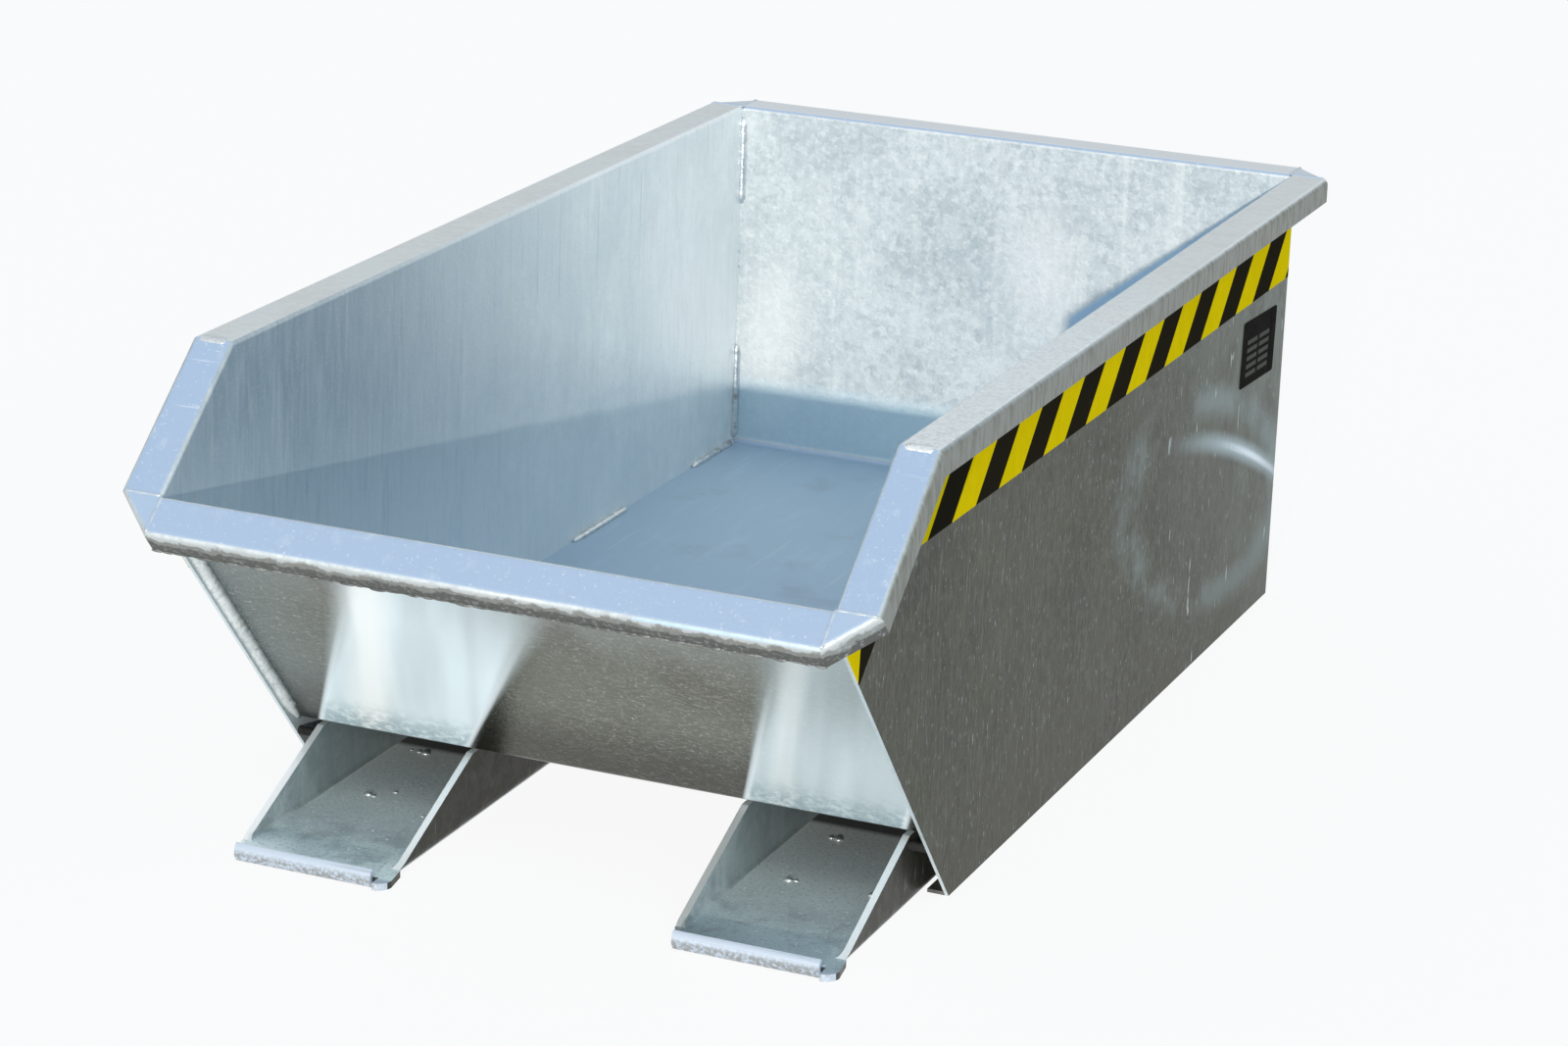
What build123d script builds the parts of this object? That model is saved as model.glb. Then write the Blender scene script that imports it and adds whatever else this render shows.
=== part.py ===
from build123d import *
from math import atan2, cos, radians, sin, sqrt, tan
import os

# Tub, all sizes in millimetres
inside_width = 762.0
rim_top = 565.0
inside_length = 1358.0
rim_slope = 41.0
slope_length = 199.0
sheet = 4.0
rim_width = 50.0
rim_drop = 30.0
rim_bend = 8.0
rim_fold = 5.5
floor_bend = 10.0
skirt_margin = 14.0
back_margin = 3.0

# Fork shoes
pocket_width = 180.0
skirt_gap = 22.0
shoe_plate = 8.0
shoe_height = 86.0
shoe_bend = 14.0
shoe_slope = 24.5
shoe_reach = 220.0
shoe_setback = 4.0
lip_bend = 13.0
lip_angle = 135.0
lip_edge = 2.0
lip_plate = 5.0
lip_left_margin = 18.0
lip_right_margin = 11.0
toe_setback = 3.0
toe_flare = 5.0
pocket_cover = 6.0
cover_setback = 60.0

# Cross tubes between the shoes
tube_depth = 60.0
tube_height = 50.0
tube_wall = 4.0
tube_corner = 7.0
front_tube_setback = 190.0

# Tipping hinge and feet
hinge_diameter = 10.0
hinge_depth = 10.0
running_gap = 0.05
seat_gap = 0.3
tipped_gap = 1.0
foot_thickness = 4.0
foot_clearance = 1.0

# Latch at the back
latch_plate_width = 190.0
latch_plate_thickness = 8.0
latch_pivot_height = 52.0
latch_pivot_diameter = 16.0
latch_collar_diameter = 28.0
latch_swing = 27.0
hook_lead = 16.0
lever_thickness = 8.0
lever_width = 28.0
lever_hub = 20.0
lever_length = 300.0
hook_radius = 140.0
hook_height = 28.0
hook_overhang = 22.0
hook_gap = 3.0
stud_diameter = 18.0
stud_cap = 30.0
stud_cap_thickness = 4.0
striker_plate_size = 80.0
striker_plate_thickness = 5.0
hand_hole = 16.0
washer_thickness = 3.0
washer_diameter = 30.0
split_pin_diameter = 4.0
latch_gap = 1.0
stop_diameter = 12.0

# Derived positions: Y is measured from the middle of the overall length, Z from the ground
slope_cos = cos(radians(rim_slope))
slope_sin = sin(radians(rim_slope))
wall_angle = 90.0 - rim_slope
front_turn = rim_bend * (slope_sin + slope_cos - 1)
front_length = inside_length + (slope_length + rim_width) * slope_cos - front_turn
back_y = (front_length - rim_width) / 2
bend_y = back_y - inside_length
half_width = inside_width / 2
floor_under = shoe_height + pocket_cover + seat_gap
floor_top = floor_under + sheet


def slant(along, above):
    """Point (y, z) at a distance down the sloping rim and a height square to it."""
    y = bend_y - along * slope_cos - above * slope_sin
    z = rim_top - along * slope_sin + above * slope_cos
    return (y, z)


front_depth = (rim_top - slope_length * slope_sin - floor_top) / slope_cos
outer_depth = (rim_top - (slope_length + sheet) * slope_sin - floor_under) / slope_cos
skirt_along = slope_length + sheet + skirt_margin
skirt_depth = (rim_top - skirt_along * slope_sin) / slope_cos
wall_foot = slant(slope_length + sheet, -outer_depth)
skirt_foot_y = slant(skirt_along, -skirt_depth)[0]

shoe_corner_y = wall_foot[0] + shoe_setback
shoe_corner_z = shoe_height
shoe_outer = half_width - skirt_gap
shoe_inner = shoe_outer - pocket_width - 2 * shoe_plate
pocket_centre = (shoe_inner + shoe_outer) / 2
shoe_back_y = back_y + sheet
lip_y = shoe_corner_y - shoe_reach

# The hinge lies where the tipping front wall stays clear of the sloping shoe edges until it meets the lips
wall_rad = radians(wall_angle)
shoe_rad = radians(shoe_slope)
corner_drop = wall_foot[1] - shoe_corner_z
corner_offset = shoe_setback * sin(wall_rad) - corner_drop * cos(wall_rad)
hinge_shift = -hinge_depth * (cos(shoe_rad) - cos(wall_rad)) - corner_offset - tipped_gap
hinge_y = shoe_corner_y + hinge_shift / (sin(wall_rad) + sin(shoe_rad))
hinge_z = shoe_corner_z - hinge_depth

latch_y = back_y + sheet
lever_y = latch_y + striker_plate_thickness + latch_gap
lever_back_y = lever_y + lever_thickness
latch_pivot_out = hook_radius * sin(radians(hook_lead))
stud_z = latch_pivot_height + hook_radius * cos(radians(hook_lead))

os.makedirs("parts", exist_ok=True)


def write(piece, label):
    """Name a finished piece and write it to its own file."""
    piece.part.label = label
    export_step(piece.part, f"parts/{label}.step")


# Tub sheet: front rim, front wall, floor, back wall and back rim bent from one strip
with BuildPart() as tub_sheet:
    with BuildSketch(Plane.YZ):
        with BuildLine():
            FilletPolyline(
                slant(slope_length + rim_width, -rim_drop),
                slant(slope_length + rim_width, 0),
                slant(slope_length, 0),
                slant(slope_length, -front_depth),
                (back_y, floor_top),
                (back_y, rim_top),
                (back_y + rim_width, rim_top),
                (back_y + rim_width, rim_top - rim_drop),
                radius=[rim_bend, rim_fold, floor_bend, floor_bend, rim_fold, rim_bend],
            )
            offset(amount=sheet, side=Side.RIGHT)
        make_face()
    extrude(amount=half_width, both=True)
write(tub_sheet, "tub_sheet")

# Side wall: flat plate down to the ground, with the rim swept round its top and sloping edges
fold_leg = rim_bend + 2
fold_corner = fold_leg * tan(radians(rim_slope / 2))
wall_face = Plane.YZ.offset(half_width)
rim_start = Plane(origin=(half_width, back_y, rim_top), x_dir=(1, 0, 0), z_dir=(0, -1, 0))
with BuildPart() as side_wall_right:
    with BuildSketch(wall_face):
        with BuildLine():
            Polyline(
                (back_y + sheet + back_margin, 0),
                (back_y + sheet + back_margin, rim_top - fold_leg),
                (bend_y + fold_corner, rim_top - fold_leg),
                slant(skirt_along, -fold_leg),
                (skirt_foot_y, 0),
                close=True,
            )
        make_face()
    extrude(amount=sheet)
    with BuildLine() as rim_path:
        rim_level = Line((half_width, back_y, rim_top), (half_width, bend_y, rim_top))
        Line(rim_level @ 1, (half_width, *slant(slope_length, 0)))
    with BuildSketch(rim_start):
        with BuildLine():
            FilletPolyline(
                (0, -fold_leg),
                (0, 0),
                (rim_width, 0),
                (rim_width, -rim_drop),
                radius=[rim_fold, rim_bend],
            )
            offset(amount=sheet, side=Side.RIGHT)
        make_face()
    sweep(path=rim_path.line, transition=Transition.RIGHT)
write(side_wall_right, "side_wall_right")

with BuildPart() as side_wall_left:
    mirror(side_wall_right.part, about=Plane.YZ)
write(side_wall_left, "side_wall_left")


def rim_corner(corner):
    """Three-cornered plate with a turned-down edge that closes the rim at one corner."""
    middle = rim_width / 2
    reach = rim_width / sqrt(2)
    cut_edge = Plane(
        origin=corner.from_local_coords((middle, middle, 0)),
        x_dir=corner.x_dir + corner.y_dir,
        z_dir=corner.x_dir - corner.y_dir,
    )
    with BuildPart() as plate:
        with BuildSketch(cut_edge):
            with BuildLine():
                FilletPolyline((-reach, 0), (0, 0), (0, -rim_drop), radius=rim_bend)
                offset(amount=sheet, side=Side.RIGHT)
            make_face()
        extrude(amount=rim_width, both=True)
        with BuildSketch(corner):
            with BuildLine():
                Polyline((0, 0), (rim_width, 0), (0, rim_width), close=True)
            make_face()
        extrude(amount=-rim_drop, mode=Mode.INTERSECT)
    return plate


back_corner = Plane(origin=(half_width, back_y, rim_top), x_dir=(1, 0, 0), z_dir=(0, 0, 1))
front_corner = Plane(
    origin=(half_width, *slant(slope_length, 0)),
    x_dir=(0, -slope_cos, -slope_sin),
    z_dir=(0, -slope_sin, slope_cos),
)
for place, corner in (("back", back_corner), ("front", front_corner)):
    right_corner = rim_corner(corner)
    write(right_corner, f"rim_corner_{place}_right")
    with BuildPart() as left_corner:
        mirror(right_corner.part, about=Plane.YZ)
    write(left_corner, f"rim_corner_{place}_left")

# Foot strip: flat bar on the ground inside each skirt
foot_inner = shoe_outer + foot_clearance
with BuildPart() as foot_strip_right:
    with BuildSketch(Plane.XY):
        with Locations(((foot_inner + half_width) / 2, (skirt_foot_y + back_y) / 2)):
            Rectangle(half_width - foot_inner, back_y - skirt_foot_y)
    extrude(amount=foot_thickness)
write(foot_strip_right, "foot_strip_right")

with BuildPart() as foot_strip_left:
    mirror(foot_strip_right.part, about=Plane.YZ)
write(foot_strip_left, "foot_strip_left")

# Hinge pin: welded to the inside of the skirt, turning in the outer plate of the fork shoe
with BuildPart() as hinge_pin_right:
    with BuildSketch(wall_face):
        with Locations((hinge_y, hinge_z)):
            Circle(hinge_diameter / 2)
    extrude(amount=shoe_outer - shoe_plate - half_width)
write(hinge_pin_right, "hinge_pin_right")

with BuildPart() as hinge_pin_left:
    mirror(hinge_pin_right.part, about=Plane.YZ)
write(hinge_pin_left, "hinge_pin_left")

# Fork shoe: bent channel cut on a slope in front, its bottom run on into a curled lip
# Both shoes are alike: on their left the bottom tapers to the lip, on their right it runs out in a flat round toe
slope_foot_y = shoe_corner_y - (shoe_height - shoe_plate) / tan(shoe_rad)
lip_turn = lip_bend * tan(radians(lip_angle / 2))
lip_leg = lip_turn + lip_edge
lip_corner_y = lip_y + lip_bend - lip_turn
lip_back_y = lip_y + lip_bend
toe_front_y = lip_y + toe_setback
toe_round = lip_right_margin + toe_flare


def fork_shoe(left_x, hinge_x, hinge_hole):
    """One shoe from its left edge, with a hole for the hinge pin through one of its plates."""
    right_x = left_x + pocket_width + 2 * shoe_plate
    lip_left_x = left_x + lip_left_margin
    lip_right_x = right_x - lip_right_margin
    with BuildPart() as shoe:
        with BuildSketch(Plane.XZ.offset(-shoe_back_y)):
            with BuildLine():
                FilletPolyline(
                    (left_x, shoe_height),
                    (left_x, 0),
                    (right_x, 0),
                    (right_x, shoe_height),
                    radius=shoe_bend,
                )
                offset(amount=shoe_plate, side=Side.LEFT)
            make_face()
        extrude(amount=shoe_back_y - toe_front_y)
        with BuildSketch(Plane.YZ.offset(left_x)):
            with BuildLine():
                Polyline(
                    (shoe_corner_y, shoe_height),
                    (slope_foot_y, shoe_plate),
                    (toe_front_y, shoe_plate),
                    (toe_front_y, shoe_height),
                    close=True,
                )
            make_face()
        extrude(amount=right_x - left_x, mode=Mode.SUBTRACT)
        with BuildSketch(Plane.XY):
            with BuildLine():
                Polyline(
                    (right_x, slope_foot_y),
                    (right_x, shoe_back_y),
                    (left_x, shoe_back_y),
                    (left_x, slope_foot_y),
                    (lip_left_x, lip_back_y),
                    (lip_right_x, lip_back_y),
                    (lip_right_x, slope_foot_y),
                    close=True,
                )
            make_face()
        extrude(amount=shoe_height, mode=Mode.INTERSECT)
        with BuildSketch(Plane.XY):
            with BuildLine():
                Polyline(
                    (lip_right_x, toe_front_y),
                    (lip_right_x, slope_foot_y),
                    (right_x, slope_foot_y),
                    (right_x + toe_flare, toe_front_y + toe_round),
                )
                TangentArc(
                    (lip_right_x, toe_front_y),
                    (right_x + toe_flare, toe_front_y + toe_round),
                    tangent=(1, 0),
                )
            make_face()
        extrude(amount=shoe_plate)
        with BuildSketch(Plane.YZ.offset(lip_left_x)):
            with BuildLine():
                FilletPolyline(
                    (shoe_corner_y, 0),
                    (lip_corner_y, 0),
                    (
                        lip_corner_y - lip_leg * cos(radians(lip_angle)),
                        lip_leg * sin(radians(lip_angle)),
                    ),
                    radius=lip_bend,
                )
                offset(amount=lip_plate, side=Side.RIGHT)
            make_face()
        extrude(amount=lip_right_x - lip_left_x)
        with BuildSketch(Plane.YZ.offset(hinge_x)):
            with Locations((hinge_y, hinge_z)):
                Circle(hinge_diameter / 2 + running_gap)
        extrude(amount=hinge_hole, mode=Mode.SUBTRACT)
    return shoe


write(fork_shoe(shoe_inner, shoe_outer, -shoe_plate), "fork_shoe_right")
write(fork_shoe(-shoe_outer, -shoe_outer, shoe_plate), "fork_shoe_left")

# Pocket cover: flat plate on the channel's edges that carries the tub's floor
cover_front_y = shoe_corner_y + cover_setback
with BuildPart() as pocket_cover_right:
    with BuildSketch(Plane.XY.offset(shoe_height)):
        with Locations((pocket_centre, (cover_front_y + shoe_back_y) / 2)):
            Rectangle(shoe_outer - shoe_inner, shoe_back_y - cover_front_y)
    extrude(amount=pocket_cover)
write(pocket_cover_right, "pocket_cover_right")

with BuildPart() as pocket_cover_left:
    mirror(pocket_cover_right.part, about=Plane.YZ)
write(pocket_cover_left, "pocket_cover_left")


def cross_tube(tube_y):
    """Square tube between the two fork shoes, centred at one place along the length."""
    with BuildPart() as tube:
        with BuildSketch(Plane.YZ):
            with Locations((tube_y, shoe_height / 2)):
                RectangleRounded(tube_depth, tube_height, tube_corner)
                RectangleRounded(
                    tube_depth - 2 * tube_wall,
                    tube_height - 2 * tube_wall,
                    tube_corner - tube_wall,
                    mode=Mode.SUBTRACT,
                )
        extrude(amount=shoe_inner, both=True)
    return tube


front_tube_y = shoe_corner_y + front_tube_setback + tube_depth / 2
rear_tube_y = latch_y - latch_plate_thickness - tube_depth / 2
write(cross_tube(front_tube_y), "cross_tube_front")
write(cross_tube(rear_tube_y), "cross_tube_rear")

# Latch plate: flat plate on the rear cross tube, level with the outside of the back wall
latch_plate_face = Plane(origin=(0, latch_y, 0), x_dir=(-1, 0, 0), z_dir=(0, 1, 0))
with BuildPart() as latch_plate:
    with BuildSketch(latch_plate_face):
        with Locations((0, shoe_height / 2)):
            RectangleRounded(latch_plate_width, shoe_height - 2 * tube_corner, tube_corner)
    extrude(amount=-latch_plate_thickness)
write(latch_plate, "latch_plate")

# Latch pivot: shoulder pin on the latch plate that the lever turns on
pin_tip_y = lever_back_y + 2 * seat_gap + washer_thickness + 2 * split_pin_diameter
split_pin_y = lever_back_y + 2 * seat_gap + washer_thickness + split_pin_diameter / 2
with BuildPart() as latch_pivot:
    with BuildSketch(latch_plate_face):
        with Locations((latch_pivot_out, latch_pivot_height)):
            Circle(latch_collar_diameter / 2)
    extrude(amount=lever_y - seat_gap - latch_y)
    with BuildSketch(latch_plate_face):
        with Locations((latch_pivot_out, latch_pivot_height)):
            Circle(latch_pivot_diameter / 2)
    extrude(amount=pin_tip_y - latch_y)
    with BuildSketch(Plane.XY.offset(latch_pivot_height)):
        with Locations((-latch_pivot_out, split_pin_y)):
            Circle(split_pin_diameter / 2 + running_gap)
    extrude(amount=latch_pivot_diameter, both=True, mode=Mode.SUBTRACT)
write(latch_pivot, "latch_pivot")

# Latch washer and split pin keep the lever on its pivot
with BuildPart() as latch_washer:
    with BuildSketch(latch_plate_face.offset(lever_back_y + seat_gap - latch_y)):
        with Locations((latch_pivot_out, latch_pivot_height)):
            Circle(washer_diameter / 2)
            Circle(latch_pivot_diameter / 2 + seat_gap, mode=Mode.SUBTRACT)
    extrude(amount=washer_thickness)
write(latch_washer, "latch_washer")

with BuildPart() as latch_split_pin:
    with BuildSketch(Plane.XY.offset(latch_pivot_height)):
        with Locations((-latch_pivot_out, split_pin_y)):
            Circle(split_pin_diameter / 2)
    extrude(amount=latch_pivot_diameter * 0.8, both=True)
write(latch_split_pin, "latch_split_pin")

# Latch lever: hub, leaning shank, hook over the striker stud and a hand hole near its top
lean_rad = radians(latch_swing - hook_lead)
lever_axes = Plane(
    origin=(-latch_pivot_out, lever_y, latch_pivot_height),
    x_dir=(-cos(lean_rad), 0, -sin(lean_rad)),
    z_dir=(0, 1, 0),
)
shank_inner = stud_diameter / 2 + hook_gap
shank_outer = shank_inner + lever_width
shank_middle = shank_inner + lever_width / 2
shank_rise = 3 * lever_hub
hook_under = hook_radius + stud_diameter / 2 + hook_gap
hook_top = hook_under + hook_height
with BuildPart() as latch_lever:
    with BuildSketch(lever_axes):
        with BuildLine():
            Polyline(
                (shank_outer, hook_radius),
                (shank_outer, hook_top),
                (-hook_overhang, hook_top),
                (-hook_overhang, hook_radius),
                close=True,
            )
        make_face()
        Circle(hook_under, mode=Mode.SUBTRACT)
        with BuildLine():
            Polyline(
                (lever_hub, 0),
                (shank_outer, shank_rise),
                (shank_outer, lever_length),
                (shank_inner, lever_length),
                (shank_inner, shank_rise),
                (-lever_hub, 0),
                close=True,
            )
        make_face()
        Circle(lever_hub)
        with Locations((shank_middle, lever_length)):
            Circle(lever_width / 2)
            Circle(hand_hole / 2, mode=Mode.SUBTRACT)
        Circle(latch_pivot_diameter / 2 + running_gap, mode=Mode.SUBTRACT)
    extrude(amount=lever_thickness)
write(latch_lever, "latch_lever")

# Latch stop: stub on the latch plate that the open lever leans on
flank_angle = atan2(shank_outer - lever_hub, shank_rise)
stop_rise = lever_hub
stop_reach = (stop_diameter / 2 + seat_gap) / cos(flank_angle)
stop_out = lever_hub + stop_rise * tan(flank_angle) + stop_reach
stop_x = latch_pivot_out + stop_out * cos(lean_rad) + stop_rise * sin(lean_rad)
stop_z = latch_pivot_height - stop_out * sin(lean_rad) + stop_rise * cos(lean_rad)
with BuildPart() as latch_stop:
    with BuildSketch(latch_plate_face):
        with Locations((stop_x, stop_z)):
            Circle(stop_diameter / 2)
    extrude(amount=lever_back_y - latch_y)
write(latch_stop, "latch_stop")

# Striker: square plate on the back wall with a stud for the latch hook and a round cap on the stud
with BuildPart() as striker_plate:
    with BuildSketch(latch_plate_face):
        with Locations((0, stud_z)):
            RectangleRounded(striker_plate_size, striker_plate_size, tube_corner)
    extrude(amount=striker_plate_thickness)
write(striker_plate, "striker_plate")

with BuildPart() as striker_stud:
    with BuildSketch(latch_plate_face.offset(striker_plate_thickness)):
        with Locations((0, stud_z)):
            Circle(stud_diameter / 2)
    extrude(amount=lever_back_y + latch_gap - latch_y - striker_plate_thickness)
write(striker_stud, "striker_stud")

with BuildPart() as striker_cap:
    with BuildSketch(latch_plate_face.offset(lever_back_y + latch_gap - latch_y)):
        with Locations((0, stud_z)):
            Circle(stud_cap / 2)
    extrude(amount=stud_cap_thickness)
write(striker_cap, "striker_cap")
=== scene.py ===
import bmesh
import bpy
import math
import random
from mathutils import Euler, Matrix, Vector


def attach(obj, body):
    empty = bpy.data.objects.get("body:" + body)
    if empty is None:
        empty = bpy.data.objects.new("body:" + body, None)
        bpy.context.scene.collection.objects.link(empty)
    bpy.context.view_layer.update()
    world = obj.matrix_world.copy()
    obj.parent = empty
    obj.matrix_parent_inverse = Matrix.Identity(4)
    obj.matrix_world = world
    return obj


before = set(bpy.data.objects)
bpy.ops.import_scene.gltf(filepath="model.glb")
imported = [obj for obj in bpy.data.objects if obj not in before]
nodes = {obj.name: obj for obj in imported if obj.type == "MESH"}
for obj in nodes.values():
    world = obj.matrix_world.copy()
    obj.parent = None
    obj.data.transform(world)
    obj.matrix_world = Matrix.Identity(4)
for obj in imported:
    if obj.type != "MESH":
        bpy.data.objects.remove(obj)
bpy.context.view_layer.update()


# Fork shoes: two channels bent from thick plate, cut on a slope in front and curled into a lip,
# then dipped in zinc. The cut edges stay bright, the insides are scuffed dark and the outsides brownish;
# painted shade darkens them under the tub, in a near-black band far back in the pockets and inside the curl.
shoe_middle = 0.261
shoe_half_inside = 0.090
half_plate = 0.004
lip_back = -0.664
curl_middle = (0.0, -0.6727, 0.0130)
cut_slope = (0.0, -0.415, 0.910)
curl_bore = (0.0094, 0.0083)
lip_end = (0.0874, 0.0864)


def lay(finish, kind, sockets=None, **options):
    """Add one node to a finish, set its options, and set or link its sockets."""
    tree = finish["tree"]
    made = tree.nodes.new("ShaderNode" + kind)
    for option, value in options.items():
        setattr(made, option, value)
    for socket, value in (sockets or {}).items():
        if isinstance(value, bpy.types.NodeSocket):
            tree.links.new(value, made.inputs[socket])
        else:
            made.inputs[socket].default_value = value
    return made


def figure(finish, operation, first, second=0.0):
    """Work out one number from two."""
    return lay(finish, "Math", {0: first, 1: second}, operation=operation).outputs[0]


def gap(finish, value, middle):
    """How far a value lies from a middle, to either side."""
    return figure(finish, "ABSOLUTE", figure(finish, "SUBTRACT", value, middle))


def rise(finish, value, low, high, least=0.0, most=1.0):
    """Go smoothly from the least to the most while a value goes from low to high."""
    ends = {"Value": value, "From Min": low, "From Max": high, "To Min": least, "To Max": most}
    return lay(finish, "MapRange", ends, interpolation_type="SMOOTHSTEP").outputs["Result"]


def cloud(finish, scale, detail):
    """Soft random tone over a finish; three scales in place of one draw it out along an axis."""
    spot = finish["spot"]
    if isinstance(scale, tuple):
        spot = lay(finish, "Mapping", {"Vector": spot, "Scale": scale}).outputs[0]
        scale = 1.0
    inputs = {"Vector": spot, "Scale": scale, "Detail": detail, "Roughness": 0.62}
    return lay(finish, "TexNoise", inputs).outputs["Fac"]


def patches(finish, scale, detail, low, high):
    """Share of a surface that lies in random patches, soft from a low to a high tone."""
    return rise(finish, cloud(finish, scale, detail), low, high)


def along(finish, direction, measured="spot"):
    """How far a place lies along a direction, or how squarely a surface faces it."""
    inputs = {0: finish[measured], 1: direction}
    return lay(finish, "VectorMath", inputs, operation="DOT_PRODUCT").outputs["Value"]


def away(finish, stretch, middle):
    """How far a place lies from a middle, after each axis is stretched or left out."""
    inputs = {0: finish["spot"], 1: stretch}
    place = lay(finish, "VectorMath", inputs, operation="MULTIPLY").outputs[0]
    return lay(finish, "VectorMath", {0: place, 1: middle}, operation="DISTANCE").outputs["Value"]


def toward(finish, direction, low, high):
    """Share of a surface that faces one way."""
    return rise(finish, along(finish, direction, "facing"), low, high)


def beyond(finish, direction, low, high):
    """Share of a surface that lies past a place, measured along a direction."""
    return rise(finish, along(finish, direction), low, high)


def both(finish, *shares):
    """Share of a surface where all the given shares hold."""
    total = shares[0]
    for share in shares[1:]:
        total = figure(finish, "MULTIPLY", total, share)
    return total


def coat(finish, share, colour, rough, metal, weight=1.0):
    """Lay another tone, gloss and metal over a share of a finish, thinned where a weight is given."""
    links, shader = finish["tree"].links, finish["shader"]
    if weight < 1.0:
        share = figure(finish, "MULTIPLY", share, weight)
    over = {0: share, 6: finish["colour"], 7: (*colour, 1)}
    finish["colour"] = lay(finish, "Mix", over, data_type="RGBA").outputs[2]
    finish["rough"] = lay(finish, "Mix", {0: share, 2: finish["rough"], 3: rough}).outputs[0]
    links.new(finish["colour"], shader.inputs["Base Color"])
    links.new(finish["rough"], shader.inputs["Roughness"])
    if metal != finish["metal"]:
        finish["metal"] = lay(finish, "Mix", {0: share, 2: finish["metal"], 3: metal}).outputs[0]
        links.new(finish["metal"], shader.inputs["Metallic"])


def zinc(name, dull, bright, rough, metal, flower=95.0, wave=0.003, relief=0.0004, streaky=0.16, gleam=0.5):
    """Hot-dip zinc: crystal flowers, cloudy patches, runs down the sheet, fine grain and gentle waves."""
    paint = bpy.data.materials.new(name)
    paint.use_nodes = True
    links, shader = paint.node_tree.links, paint.node_tree.nodes["Principled BSDF"]
    finish = {"paint": paint, "tree": paint.node_tree, "shader": shader, "metal": metal}
    place = lay(finish, "TexCoord")
    finish["spot"], finish["facing"] = place.outputs["Object"], place.outputs["Normal"]
    flowers = lay(finish, "TexVoronoi", {"Vector": finish["spot"], "Scale": flower})
    flower_tone = lay(finish, "SeparateColor", {0: flowers.outputs["Color"]}).outputs[0]
    clouds = finish["clouds"] = cloud(finish, 5.0, 6.0)
    runs = cloud(finish, (75.0, 75.0, 2.6), 4.0)
    grain = finish["grain"] = cloud(finish, 210.0, 3.0)
    mottle = finish["mottle"] = cloud(finish, 60.0, 4.0)
    tone = figure(finish, "MULTIPLY", clouds, 0.50 - streaky / 2)
    for part, weight in ((runs, streaky), (mottle, 0.18), (flower_tone, 0.05), (grain, 0.27 - streaky / 2)):
        tone = lay(finish, "Math", {0: part, 1: weight, 2: tone}, operation="MULTIPLY_ADD").outputs[0]
    over = {0: rise(finish, tone, 0.40, 0.62), 6: (*dull, 1), 7: (*bright, 1)}
    finish["colour"] = lay(finish, "Mix", over, data_type="RGBA").outputs[2]
    gloss_tone = figure(finish, "ADD", clouds, flower_tone)
    finish["rough"] = rise(finish, gloss_tone, 0.5, 1.2, rough - 0.05, rough + 0.07)
    fine_height = figure(finish, "ADD", both(finish, grain, 0.7), both(finish, mottle, 0.8))
    fine = {"Height": fine_height, "Distance": relief, "Strength": 1.0}
    slow = {"Height": cloud(finish, 3.4, 1.0), "Distance": wave, "Strength": 1.0}
    slow["Normal"] = lay(finish, "Bump", fine).outputs[0]
    links.new(lay(finish, "Bump", slow).outputs[0], shader.inputs["Normal"])
    links.new(finish["colour"], shader.inputs["Base Color"])
    links.new(finish["rough"], shader.inputs["Roughness"])
    shader.inputs["Metallic"].default_value = metal
    shader.inputs["Specular IOR Level"].default_value = gleam
    return finish


def dress(names, finish):
    """Put a finish on CAD pieces."""
    for name in names:
        nodes[name].data.materials.clear()
        nodes[name].data.materials.append(finish["paint"])


shoe = zinc("shoe_zinc", (0.42, 0.50, 0.52), (0.68, 0.76, 0.77), 0.36, 0.42, wave=0.002)
floor_up = toward(shoe, (0, 0, 1), 0.90, 0.98)
front_floor = both(shoe, floor_up, beyond(shoe, (0, -1, 0), 0.54, 0.66))
coat(shoe, front_floor, (0.86, 1.0, 1.0), 0.36, 0.42)
duller = both(shoe, front_floor, beyond(shoe, (1, 0, 0), 0.0, 0.1))
coat(shoe, duller, (0.47, 0.57, 0.62), 0.36, 0.42, 0.90)
shoe_blotches = patches(shoe, 26.0, 6.0, 0.47, 0.66)
coat(shoe, shoe_blotches, (0.27, 0.32, 0.33), 0.42, 0.42, 0.5)
# Painted shade: the shoes go darker where they run under the tub, and their floor there is laid lighter
# again.
under_tub = beyond(shoe, (0, 1, 0), -0.60, -0.45)
coat(shoe, under_tub, (0.25, 0.31, 0.32), 0.40, 0.30, 0.58)
coat(shoe, both(shoe, floor_up, under_tub), (0.72, 0.79, 0.79), 0.40, 0.15, 0.88)
floor_grain = patches(shoe, 260.0, 4.0, 0.50, 0.68)
coat(shoe, both(shoe, floor_up, floor_grain), (0.33, 0.37, 0.38), 0.45, 0.30, 0.60)
# Painted shadow: a near-black band across the pocket floors, far back under the tub.
pocket_shadow = both(shoe, floor_up, beyond(shoe, (0, 1, 0), -0.302, -0.286), beyond(shoe, (0, -1, 0), -0.65, -0.50))
coat(shoe, pocket_shadow, (0.018, 0.018, 0.017), 0.60, 0.10, 0.90)
rubbed = patches(shoe, 3.0, 5.0, 0.35, 0.7)
scratches = patches(shoe, (210.0, 210.0, 26.0), 2.0, 0.66, 0.74)
coat(shoe, both(shoe, scratches, rubbed), (0.60, 0.64, 0.65), 0.35, 0.60)
dusty_spots = patches(shoe, 190.0, 2.0, 0.64, 0.74)
dusty_floor = both(shoe, dusty_spots, floor_up, beyond(shoe, (0, -1, 0), 0.28, 0.36))
coat(shoe, dusty_floor, (0.98, 1.0, 1.0), 0.5, 0.1)
curl = beyond(shoe, (0, -1, 0), -lip_back, -lip_back + 0.010)
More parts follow.
